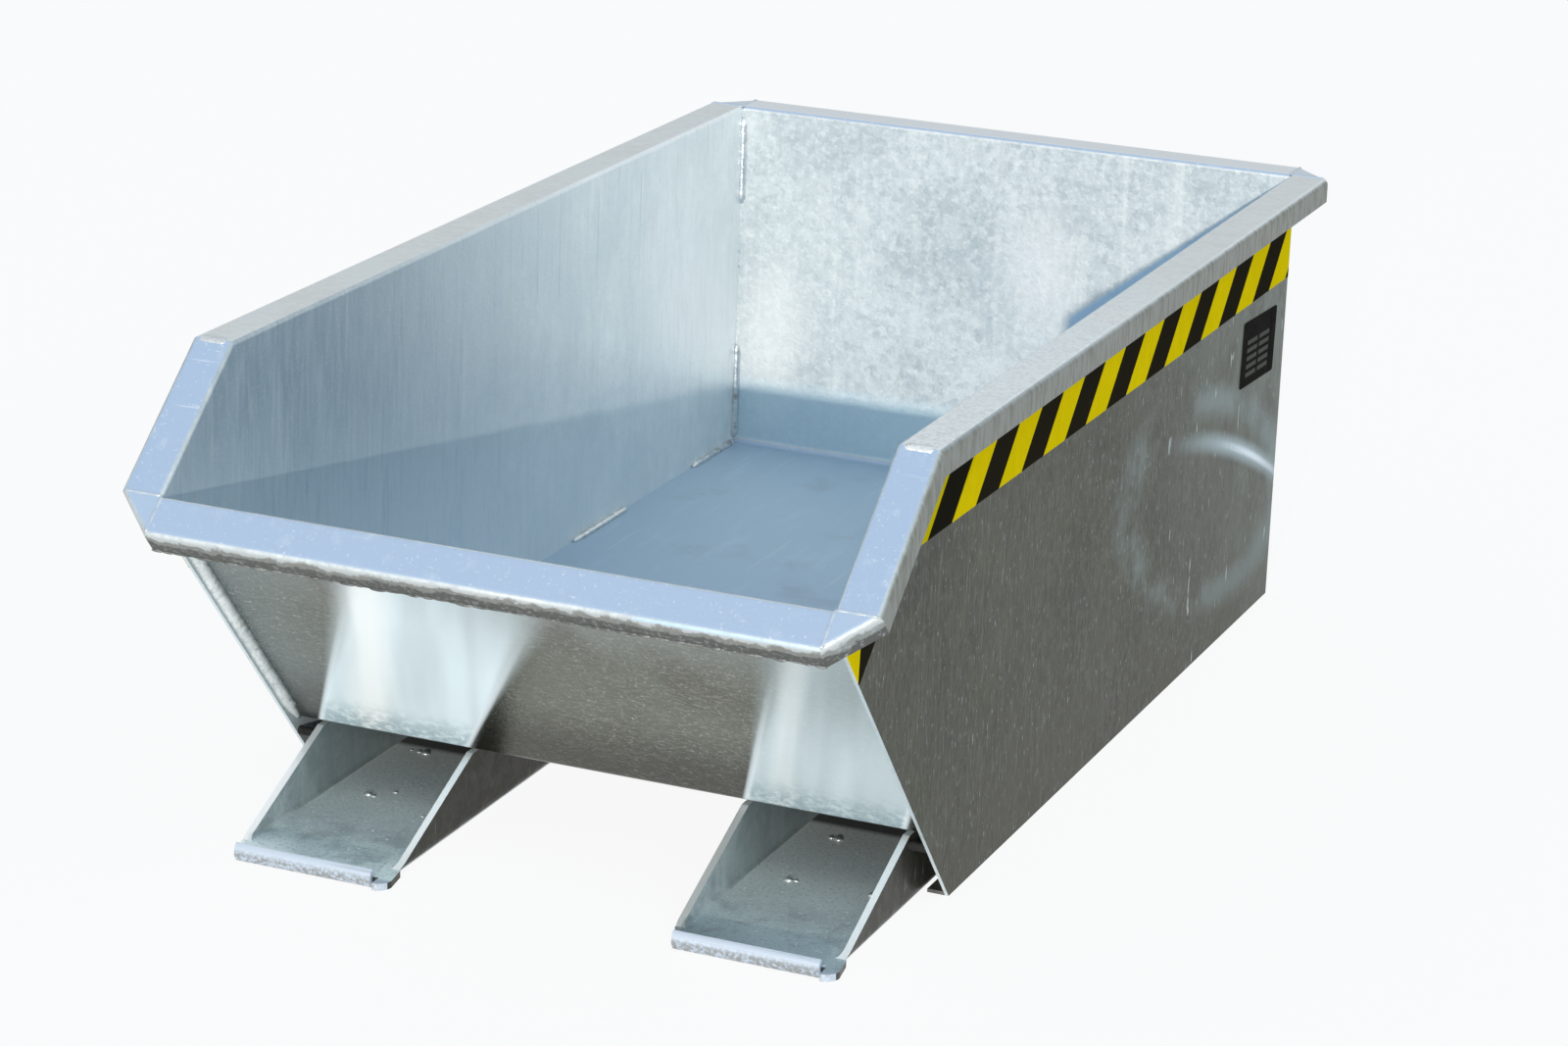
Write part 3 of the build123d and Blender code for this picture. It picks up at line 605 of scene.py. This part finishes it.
# Painted reflection: the outside faces are painted dark in place of the dark ground they would mirror; the
# streaks, flecks and scars laid over it are marks on the sheet.
weathered_dark_reflection = zinc(
    "weathered_dark_reflection_zinc", (0.032, 0.031, 0.018), (0.080, 0.079, 0.052), 0.34, 0.0,
    streaky=0.10, gleam=0.10,
)
# Painted sheen: lighter and bluer towards the top of the rear.
rear_sheen = beyond(weathered_dark_reflection, (0, 0.8, 0.6), 0.25, 0.85)
coat(weathered_dark_reflection, rear_sheen, (0.158, 0.182, 0.152), 0.30, 0.0, 0.75)
left_wall = beyond(weathered_dark_reflection, (-1, 0, 0), 0.0, 0.1)
coat(weathered_dark_reflection, left_wall, (0.24, 0.255, 0.24), 0.34, 0.0, 0.60)
blotches = patches(weathered_dark_reflection, (7.0, 7.0, 5.0), 4.0, 0.44, 0.62)
coat(weathered_dark_reflection, blotches, (0.050, 0.045, 0.030), 0.32, 0.0, 0.5)
smudges = patches(weathered_dark_reflection, (30.0, 30.0, 16.0), 6.0, 0.46, 0.66)
coat(weathered_dark_reflection, smudges, (0.038, 0.036, 0.025), 0.34, 0.0, 0.60)
hair_lines = patches(weathered_dark_reflection, (250.0, 250.0, 15.0), 6.0, 0.50, 0.68)
coat(weathered_dark_reflection, hair_lines, (0.168, 0.166, 0.112), 0.40, 0.0, 0.40)
rain = patches(weathered_dark_reflection, (200.0, 200.0, 52.0), 5.0, 0.46, 0.74)
coat(weathered_dark_reflection, rain, (0.225, 0.228, 0.165), 0.40, 0.0, 0.34)
flecks = patches(weathered_dark_reflection, (260.0, 260.0, 70.0), 2.0, 0.64, 0.74)
coat(weathered_dark_reflection, flecks, (0.42, 0.445, 0.415), 0.45, 0.0, 0.8)
scars = patches(weathered_dark_reflection, (150.0, 95.0, 17.0), 2.0, 0.68, 0.73)
rear_scars = both(weathered_dark_reflection, scars, beyond(weathered_dark_reflection, (0, 1, 0), 0.1, 0.4))
coat(weathered_dark_reflection, rear_scars, (0.54, 0.56, 0.53), 0.45, 0.0)
right_wall = beyond(weathered_dark_reflection, (1, 0, 0), 0.0, 0.1)
# Painted sheen: a faint lighter circle round a dent in the right wall.
ring_long = off_by(weathered_dark_reflection, along(weathered_dark_reflection, ring_axis), ring_middle[0], ring_reach[0])
ring_wide = off_by(weathered_dark_reflection, along(weathered_dark_reflection, ring_side), ring_middle[1], ring_reach[1])
squares = [figure(weathered_dark_reflection, "POWER", part, 2.0) for part in (ring_long, ring_wide)]
ring_size = figure(weathered_dark_reflection, "SQRT", figure(weathered_dark_reflection, "ADD", *squares))
ring_sheen = rise(weathered_dark_reflection, gap(weathered_dark_reflection, ring_size, 1.0), 0.25, 0.01)
ring_sheen = both(weathered_dark_reflection, ring_sheen, right_wall, rise(weathered_dark_reflection, weathered_dark_reflection["clouds"], 0.40, 0.58))
coat(weathered_dark_reflection, ring_sheen, (0.29, 0.36, 0.34), 0.28, 0.0, 0.46)
# Painted highlight: a bright bluish line along the fold of the dent, white in its middle.
crease_along = along(weathered_dark_reflection, crease_axis)
crease_level = along(weathered_dark_reflection, crease_side)
crease_half = off_by(weathered_dark_reflection, crease_along, crease_middle, crease_reach)
crease_bow = both(weathered_dark_reflection, crease_half, crease_half, crease_bend)
crease_off = gap(weathered_dark_reflection, figure(weathered_dark_reflection, "SUBTRACT", crease_level, crease_bow), crease_height)
crease_near = rise(weathered_dark_reflection, crease_off, 0.020, 0.0)
crease_start = rise(weathered_dark_reflection, crease_along, 0.14, 0.48)
crease_end = rise(weathered_dark_reflection, crease_along, 0.70, 0.53, 0.30, 1.0)
crease_highlight = both(weathered_dark_reflection, crease_near, crease_start, crease_end, right_wall)
coat(weathered_dark_reflection, crease_highlight, (0.64, 0.77, 0.78), 0.25, 0.0, 0.66)
crease_glint = rise(weathered_dark_reflection, crease_off, 0.0075, 0.001)
core_part = rise(weathered_dark_reflection, crease_along, 0.36, 0.54)
coat(weathered_dark_reflection, both(weathered_dark_reflection, crease_glint, crease_highlight, core_part), (0.98, 1.0, 1.0), 0.25, 0.0, 0.9)
skirt_foot = beyond(weathered_dark_reflection, (0, 0, -1), -0.12, 0.0)
foot_brown = both(weathered_dark_reflection, skirt_foot, rise(weathered_dark_reflection, weathered_dark_reflection["clouds"], 0.42, 0.60))
coat(weathered_dark_reflection, foot_brown, (0.090, 0.082, 0.058), 0.45, 0.0, 0.6)
for name, hand in (("side_wall_left", -1), ("side_wall_right", 1)):
    wall = nodes[name].data
    wall.materials.append(weathered_dark_reflection["paint"])
    for face in wall.polygons:
        if face.normal.x * hand > 0.9 and abs(face.center.x) < flange_inside:
            face.material_index = 1


# Rim corners: four small three-cornered plates with a turned-down edge, cut across the corners of the rim
# and welded in before dipping, so zinc has run over their joints.
corners = zinc("corner_zinc", (0.44, 0.49, 0.52), (0.66, 0.70, 0.72), 0.42, 0.5)
# Painted reflection: the sloping face tinted sky blue.
coat(corners, toward(corners, rim_slant, 0.88, 0.98), (0.43, 0.545, 0.70), 0.46, 0.5)
coat(corners, toward(corners, (0, 0, 1), 0.90, 0.98), (0.62, 0.66, 0.69), 0.60, 0.4)
cut_face = toward(corners, wall_out, 0.40, 0.68)
coat(corners, cut_face, (0.52, 0.54, 0.53), 0.50, 0.3)
# The cut face: darker towards the lower edge.
corner_level = ragged_level(corners)
corner_lower = rise(corners, corner_level, 0.8215, 0.8175)
coat(corners, both(corners, cut_face, corner_lower), (0.27, 0.28, 0.265), 0.50, 0.2)
corner_dark = rise(corners, corner_level, 0.8125, 0.8090)
coat(corners, both(corners, cut_face, corner_dark), (0.090, 0.092, 0.084), 0.55, 0.2)
corner_crust = patches(corners, 120.0, 5.0, 0.52, 0.66)
coat(corners, both(corners, cut_face, corner_lower, corner_crust), (0.44, 0.46, 0.45), 0.50, 0.2, 0.6)
dress([f"rim_corner_{end}_{hand}" for end in ("back", "front") for hand in ("left", "right")], corners)


# Foot strips: flat steel bars welded along the inside of the skirts' lower edges to stiffen them,
# dipped with the tub, and since then dulled and browned by the ground.
feet = zinc("foot_zinc", (0.075, 0.077, 0.073), (0.155, 0.158, 0.152), 0.55, 0.3)
coat(feet, rise(feet, feet["mottle"], 0.52, 0.68), (0.095, 0.072, 0.050), 0.70, 0.1)
dress(("foot_strip_left", "foot_strip_right"), feet)


# Striker: a square plate welded on the back wall that carries the stud for the latch hook. Its zinc is
# rubbed bright where the hook runs on.
striker = zinc("striker_zinc", (0.34, 0.35, 0.355), (0.56, 0.58, 0.59), 0.38, 0.82, flower=150.0, wave=0.001)
coat(striker, rise(striker, striker["mottle"], 0.56, 0.70), (0.62, 0.62, 0.61), 0.28, 0.9)
dress(("striker_plate",), striker)


# Tub welds: stitch runs in the inside corners and up the back edges, and a broad smooth run across each
# rim at its bend, all laid before dipping.
half_width = 0.381
back_y = 0.7463
floor_z = 0.0963
rim_z = 0.565
bend_y = -0.6117
front_foot = (-0.4697, 0.0923)
front_head = (-0.7610, 0.4274)
front_inside_foot = (-0.4600, 0.1054)
front_inside_head = (-0.7560, 0.4277)
bend_seat = (-0.6099, 0.5603)
floor_stitches = ((-0.42, -0.30), (-0.10, 0.04), (0.240, 0.396), (0.607, 0.742))
corner_stitches = ((0.550, 0.432), (0.236, 0.104))
back_stitches = ((0.08, 0.18), (0.30, 0.38), (0.45, 0.52))
front_stitches = ((0.08, 0.34), (0.60, 0.88))
off_side, off_floor, off_back = 0.0022, 0.0010, 0.0015
back_edge_x, back_edge_y = 0.3800, 0.7505
bend_start, bend_end = 0.3835, 0.4275
inside_bead, front_bead, back_bead, bend_bead = 0.0052, 0.0050, 0.0042, 0.0062
corner_ripple, bend_ripple = 0.025, 0.02


def between(start, end, share):
    """Place at a share of the way from one place to another."""
    return tuple(a + (b - a) * share for a, b in zip(start, end))


tub_runs = bmesh.new()
for side in (-1, 1):
    inner_x = side * (half_width - off_side)
    for stitch in floor_stitches:
        bead(tub_runs, *((inner_x, end_y, floor_z + off_floor) for end_y in stitch), inside_bead)
    for stitch in corner_stitches:
        ends = ((inner_x, back_y - off_back, end_z) for end_z in stitch)
        bead(tub_runs, *ends, inside_bead, corner_ripple)
    for stitch in back_stitches:
        bead(tub_runs, *((side * back_edge_x, back_edge_y, end_z) for end_z in stitch), back_bead)
    for stitch in front_stitches:
        ends = ((inner_x, *between(front_inside_foot, front_inside_head, share)) for share in stitch)
        bead(tub_runs, *ends, front_bead)
    bead(tub_runs, (side * bend_start, *bend_seat), (side * bend_end, *bend_seat), bend_bead, bend_ripple)
tub_welds = make("tub_welds", tub_runs, weld_zinc)
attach(tub_welds, "tub")


# Edge welds: a long fillet down each side of the front wall that fills the corner with the skirt. The left
# one was laid wide and smeared out, the right one narrow; the zinc on them is thick and bright.
edge_steps = 90
edge_sunk = 0.0015
fillet_sides, end_size, end_growth = 4, 0.30, 9.0
edge_legs = ((-1, 0.0120, 0.0085), (1, 0.0060, 0.0050))
lump_limits = ((0.90, 1.0), (0.92, 1.06), (0.52, 0.60))
lump_seed = 5

edge_zinc = zinc(
    "edge_weld_zinc", (0.62, 0.65, 0.65), (0.95, 0.97, 0.96), 0.45, 0.25, flower=200.0, relief=0.0010,
)
edge_dirt = patches(edge_zinc, 90.0, 6.0, 0.56, 0.70)
coat(edge_zinc, edge_dirt, (0.42, 0.40, 0.34), 0.55, 0.2, 0.6)
edge_runs = bmesh.new()
uneven = random.Random(lump_seed)
for side, out_leg, wall_leg in edge_legs:
    lumps = [[uneven.uniform(*limits) for limits in lump_limits] for step in range(edge_steps + 1)]
    fillet = drawn_bar(fillet_sides, 1.0, 1.0, edge_steps - 1)
    for vert in fillet.verts:
        share = vert.co.z + 0.5
        ends = min(1.0, end_size + end_growth * min(share, 1.0 - share))
        out_lump, wall_lump, bulge = lumps[round(share * edge_steps)]
        out, inward = out_leg * ends * out_lump, wall_leg * ends * wall_lump
        if vert.co.y > 0.5:
            off_wall, off_skirt = out, 0.0
        elif vert.co.y < -0.5:
            off_wall, off_skirt = -edge_sunk / 3, inward + edge_sunk
        elif vert.co.x > 0.5:
            off_wall, off_skirt = out * bulge, inward * bulge + edge_sunk
        else:
            off_wall, off_skirt = -edge_sunk, 0.0
        seat = Vector((side * (half_width + edge_sunk), *between(front_foot, front_head, share)))
        vert.co = seat + Vector(wall_out) * off_wall - Vector((side * off_skirt, 0.0, 0.0))
    join(edge_runs, fillet)
edge_welds = make("edge_welds", edge_runs, edge_zinc)
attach(edge_welds, "tub")


# Corner welds: two short runs on top of each corner plate, along its joints with the two rims, laid
# low and dipped with the tub. Those in front are the rougher ones.
front_corner = (-0.7619, 0.4344)
along_slope = Vector((0.0, -0.7547, -0.6561))
joint_long = 0.046
back_joint_bead, front_joint_bead = 0.0026, 0.0024
back_sunk, front_sunk = 0.0012, 0.0013
rough_ripple = 0.16

corner_runs = bmesh.new()
for side in (-1, 1):
    outward_run = Vector((side * joint_long, 0, 0))
    inner_back = Vector((side * half_width, back_y, rim_z - back_sunk))
    bead(corner_runs, inner_back, inner_back + outward_run, back_joint_bead)
    bead(corner_runs, inner_back, inner_back + Vector((0, joint_long, 0)), back_joint_bead)
    inner_front = Vector((side * half_width, *front_corner)) - Vector(rim_slant) * front_sunk
    bead(corner_runs, inner_front, inner_front + outward_run, front_joint_bead, rough_ripple)
    down_slope = along_slope * joint_long
    bead(corner_runs, inner_front, inner_front + down_slope, front_joint_bead, rough_ripple)
corner_welds = make("corner_welds", corner_runs, corners)
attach(corner_welds, "tub")


# Zinc icicles: drips of zinc that set along the lower edge of the front rim while the tub was lifted
# from the bath, small, close together and left as they were.
drip_edge = (-0.7809, 0.3800)
drip_reach = 0.375
drip_count, drip_wander, drip_seed = 60, 0.4, 11
drip_limits = ((0.002, 0.012), (0.0012, 0.0020), (0.0008, 0.0028))
slope_turn = math.radians(41)

icicles = bmesh.new()
chance = random.Random(drip_seed)
for number in range(drip_count):
    wander = chance.uniform(-drip_wander, drip_wander)
    drip_x = -drip_reach + 2 * drip_reach * (number + wander) / (drip_count - 1)
    drip_size = [chance.uniform(*limits) for limits in drip_limits]
    lean = Matrix.Translation((drip_x, *drip_edge)) @ Matrix.Rotation(-slope_turn, 4, "X")
    stretched = lean @ Matrix.Diagonal((*drip_size, 1.0))
    bmesh.ops.create_icosphere(icicles, subdivisions=2, radius=1.0, matrix=stretched)
drip_zinc = zinc("drip_zinc", (0.10, 0.105, 0.10), (0.30, 0.31, 0.30), 0.50, 0.6, relief=0.0010)
zinc_icicles = make("zinc_icicles", icicles, drip_zinc)
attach(zinc_icicles, "tub")


# Hazard tape: yellow and black self-adhesive film, 100 mm wide with slanted bars, stuck on the side walls
# right under the rim, with a second length under the sloping rim that ends at the skirt's front edge.
tape_wide = 0.100
tape_thick = 0.0005
tape_low = 0.4376
tape_sag, sag_arm = 0.0065, 0.51
tape_columns, tape_rows = 60, 4
bar_period = 0.1413
black_share, bar_soft, print_bleed = 0.500, 0.006, 0.0012
bar_start = -0.963
slope_bar_start = 0.1065
tape_front, tape_back = -0.640, 0.7530
slope_tape_long, slope_tape_start, slope_tape_drop = 0.39, 0.070, 0.0650
slope_line_drop, rim_edge_drop = 0.1148, 0.0125
skirt_front = -0.4081
glue_gap = 0.00005
wall_face = 0.3850
slope_out = Vector((0.0, -0.6561, 0.7547))
bend = Vector((0.0, bend_y, rim_z))


def tape_finish(name, across, start):
    """Film printed with bars: scuffed, a little dusty, edges of the bars slightly bled."""
    finish = zinc(
        name, (0.81, 0.585, 0.003), (0.885, 0.64, 0.004), 0.45, 0.0,
        wave=0.001, relief=0.0001, gleam=0.0,
    )
    bleed = figure(finish, "MULTIPLY", figure(finish, "SUBTRACT", finish["grain"], 0.5), print_bleed)
    bled = figure(finish, "ADD", along(finish, across), bleed)
    saw = figure(finish, "FRACT", off_by(finish, bled, start, bar_period))
    bar_end = rise(finish, saw, black_share + bar_soft, black_share)
    black = both(finish, rise(finish, saw, 0.0, bar_soft), bar_end)
    coat(finish, black, (0.021, 0.017, 0.010), 0.45, 0.0)
    coat(finish, patches(finish, 60.0, 5.0, 0.66, 0.80), (0.34, 0.31, 0.20), 0.6, 0.0, 0.13)
    return finish


def flat_sheet(long, high, columns, rows):
    """A flat sheet about its middle, cut into columns and rows."""
    sheet = bmesh.new()
    bmesh.ops.create_grid(sheet, x_segments=columns, y_segments=rows, size=0.5)
    bmesh.ops.scale(sheet, vec=(long, high, 1.0), verts=sheet.verts)
    return sheet


def stand(sheet, off_wall, centre, turn):
    """Stand a flat sheet up against the right side wall, turned about its middle."""
    upright = Matrix(((0, 0, 1, 0), (1, 0, 0, 0), (0, 1, 0, 0), (0, 0, 0, 1)))
    place = Matrix.Translation((wall_face + off_wall, *centre)) @ Matrix.Rotation(turn, 4, "X") @ upright
    bmesh.ops.transform(sheet, matrix=place, verts=sheet.verts)


def thicken(sheet, offset):
    """Give a flat sheet its thickness."""
    grown = bmesh.ops.extrude_face_region(sheet, geom=sheet.faces[:])
    raised = [item for item in grown["geom"] if isinstance(item, bmesh.types.BMVert)]
    bmesh.ops.translate(sheet, vec=offset, verts=raised)


def tape_strip(name, side, centre, length, turn, cuts, finish):
    """Lay one length of tape on a side wall and trim it with cutting planes."""
    strip = flat_sheet(length, tape_wide, tape_columns, tape_rows)
    stand(strip, glue_gap, centre, turn)
    for cut_at, cut_toward in cuts:
        trim(strip, cut_at, cut_toward, clear_outer=True)
    bmesh.ops.recalc_face_normals(strip, faces=strip.faces)
    thicken(strip, (tape_thick, 0, 0))
    if side < 0:
        bmesh.ops.scale(strip, vec=(-1, 1, 1), verts=strip.verts)
    return make(name, strip, finish, smooth=False)


level_film = tape_finish("level_hazard_film", (0, 1, -1), bar_start)
slope_across = along_slope + slope_out
slope_start = bend.dot(slope_across) + slope_bar_start - bar_period / 2
slope_film = tape_finish("slope_hazard_film", tuple(slope_across), slope_start)
tape_middle = ((tape_front + tape_back) / 2, tape_low + tape_wide / 2 - tape_sag * sag_arm)
slope_middle = bend + along_slope * slope_tape_start - slope_out * slope_tape_drop
slope_line = bend - slope_out * slope_line_drop
level_cuts = [(slope_line, slope_out)]
slope_cuts = [
    (Vector((0.0, skirt_front, 0.0)), along_slope),
    (Vector((0.0, bend_y, rim_z - rim_edge_drop)), Vector((0.0, 0.0, 1.0))),
    (slope_line, -slope_out),
]
for side, hand in ((-1, "left"), (1, "right")):
    level_tape = tape_strip(
        f"hazard_tape_{hand}", side, tape_middle, tape_back - tape_front, -tape_sag, level_cuts, level_film,
    )
    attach(level_tape, "tub")
    slope_tape = tape_strip(
        f"slope_tape_{hand}", side, slope_middle.yz, slope_tape_long, slope_turn, slope_cuts, slope_film,
    )
    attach(slope_tape, "tub")


# Label plate: a thin black-coated plate with rounded corners and rows of blank grey fields, stuck a little
# crooked on the right side wall under the tape.
label_middle = (0.6393, 0.3632)
label_wide, label_high, label_thick = 0.1395, 0.0850, 0.0008
label_turn = math.radians(-2.8)
label_corner, label_border, label_hollow = 0.004, 0.0025, 0.0002
field_pitch = 0.0105
field_rows = 5.0
field_soft, row_fade = 0.0005, 0.1
row_foot, row_head = (0.30, 0.36), (0.90, 0.84)
field_shift, field_off, field_half, field_foot = -0.004, 0.025, 0.021, -0.034
label_gap = 0.0003

label_coat = zinc(
    "label_black", (0.013, 0.012, 0.010), (0.026, 0.024, 0.020), 0.34, 0.0,
    wave=0.0006, relief=0.0001, gleam=0.0,
)
label_rub = patches(label_coat, 70.0, 5.0, 0.64, 0.78)
coat(label_coat, label_rub, (0.12, 0.115, 0.10), 0.5, 0.0, 0.3)
label_frame = {"Location": (0.0, *label_middle), "Rotation": (label_turn, 0.0, 0.0)}
label_frame["Vector"] = label_coat["spot"]
label_spot = lay(label_coat, "Mapping", label_frame, vector_type="TEXTURE").outputs[0]
_, label_y, label_z = lay(label_coat, "SeparateXYZ", {0: label_spot}).outputs
off_column = gap(label_coat, label_y, field_shift)
off_field = gap(label_coat, off_column, field_off)
in_column = rise(label_coat, off_field, field_half + field_soft, field_half - field_soft)
row_turns = off_by(label_coat, label_z, field_foot, field_pitch)
row_saw = figure(label_coat, "FRACT", row_turns)
in_row = both(label_coat, rise(label_coat, row_saw, *row_foot), rise(label_coat, row_saw, *row_head))
above_first = rise(label_coat, row_turns, 0.0, row_fade)
below_last = rise(label_coat, row_turns, field_rows, field_rows - row_fade)
fields = both(label_coat, in_column, in_row, above_first, below_last)
coat(label_coat, fields, (0.130, 0.120, 0.100), 0.5, 0.0, 0.85)
plate = flat_sheet(label_wide, label_high, 1, 1)
bmesh.ops.bevel(
    plate, geom=plate.verts[:], offset=label_corner,
    affect="VERTICES", segments=4, profile=0.5, material=-1,
)
bmesh.ops.inset_region(plate, faces=plate.faces[:], thickness=label_border, depth=0.0)
middle = max(plate.faces, key=lambda face: face.calc_area())
bmesh.ops.translate(plate, vec=(0, 0, -label_hollow), verts=middle.verts)
thicken(plate, (0, 0, label_thick))
stand(plate, label_gap, label_middle, label_turn)
label_plate = make("label_plate", plate, label_coat, smooth=False)
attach(label_plate, "tub")


# Studio: a plain pale floor under an even surround, both white to the eye, one warm key lamp far off
# and low in front, and a wide softbox on the right.
floor_reach = 40.0
floor_glow = 0.91
softbox_aim = Vector((0, 0, 0.3))


def seen_straight(finish):
    """1 for what the camera sees straight, mirrored or through glass, 0 for the light on other things."""
    path = lay(finish, "LightPath").outputs
    straight = figure(finish, "MAXIMUM", path["Is Camera Ray"], path["Is Glossy Ray"])
    return figure(finish, "MAXIMUM", straight, path["Is Transmission Ray"])


def put_out(finish, share, first, second, output):
    """Send a mix of two shaders to an output."""
    mix = lay(finish, "MixShader", {0: share, 1: first.outputs[0], 2: second.outputs[0]})
    finish["tree"].links.new(mix.outputs[0], finish["tree"].nodes[output].inputs["Surface"])


floor_paint = bpy.data.materials.new("floor_white")
floor_paint.use_nodes = True
floor_finish = {"paint": floor_paint, "tree": floor_paint.node_tree}
floor_shader = floor_paint.node_tree.nodes["Principled BSDF"]
floor_shader.inputs["Base Color"].default_value = (0.86, 0.86, 0.86, 1)
floor_shader.inputs["Roughness"].default_value = 0.9
glow = lay(floor_finish, "Emission", {"Color": (1, 1, 1, 1), "Strength": 1.0})
glow_share = figure(floor_finish, "MULTIPLY", seen_straight(floor_finish), floor_glow)
put_out(floor_finish, glow_share, floor_shader, glow, "Material Output")
floor = make("studio_floor", flat_sheet(floor_reach, floor_reach, 1, 1), floor_finish, smooth=False)

world = bpy.data.worlds.new("studio_surround")
bpy.context.scene.world = world
world.use_nodes = True
sky_finish = {"tree": world.node_tree}
sky = world.node_tree.nodes["Background"]
sky.inputs["Color"].default_value = (0.61, 0.80, 1.0, 1)
sky.inputs["Strength"].default_value = 0.66
paper = lay(sky_finish, "Background", {"Color": (1, 1, 1, 1), "Strength": 1.0})
put_out(sky_finish, seen_straight(sky_finish), sky, paper, "World Output")

key_data = bpy.data.lights.new("key_lamp", "AREA")
key_data.energy = 7300
key_data.size = 0.30
key_data.color = (1.0, 0.95, 0.87)
key = hang("key_lamp", key_data)
key.location = (6.65, -30.0, 5.37)
key.rotation_euler = (math.radians(80), 0, math.radians(12.5))

fill_data = bpy.data.lights.new("side_softbox", "AREA")
fill_data.energy = 34
fill_data.size = 4.0
fill = hang("side_softbox", fill_data)
fill.location = (5.5, -1.8, 4.2)
fill.rotation_euler = (fill.location - softbox_aim).to_track_quat("Z", "Y").to_euler()


# Camera: standing off the front right corner, a little above the rim and slightly rolled, with a long
# lens, so that the hopper is seen into and along both its front and its right side.
camera_pitch, camera_heading, camera_roll = (math.radians(turn) for turn in (72.213, 22.488, 2.01))

camera_data = bpy.data.cameras.new("camera")
camera_data.lens = 100.58
camera_data.sensor_width = 36
camera_data.clip_end = 100
camera = hang("camera", camera_data)
camera.location = (1.8888, -4.5432, 1.8276)
tilt = Euler((camera_pitch, 0, camera_heading)).to_matrix()
camera.rotation_euler = (tilt @ Matrix.Rotation(camera_roll, 3, "Z")).to_euler()
bpy.context.scene.camera = camera
bpy.context.scene.view_settings.view_transform = "Standard"
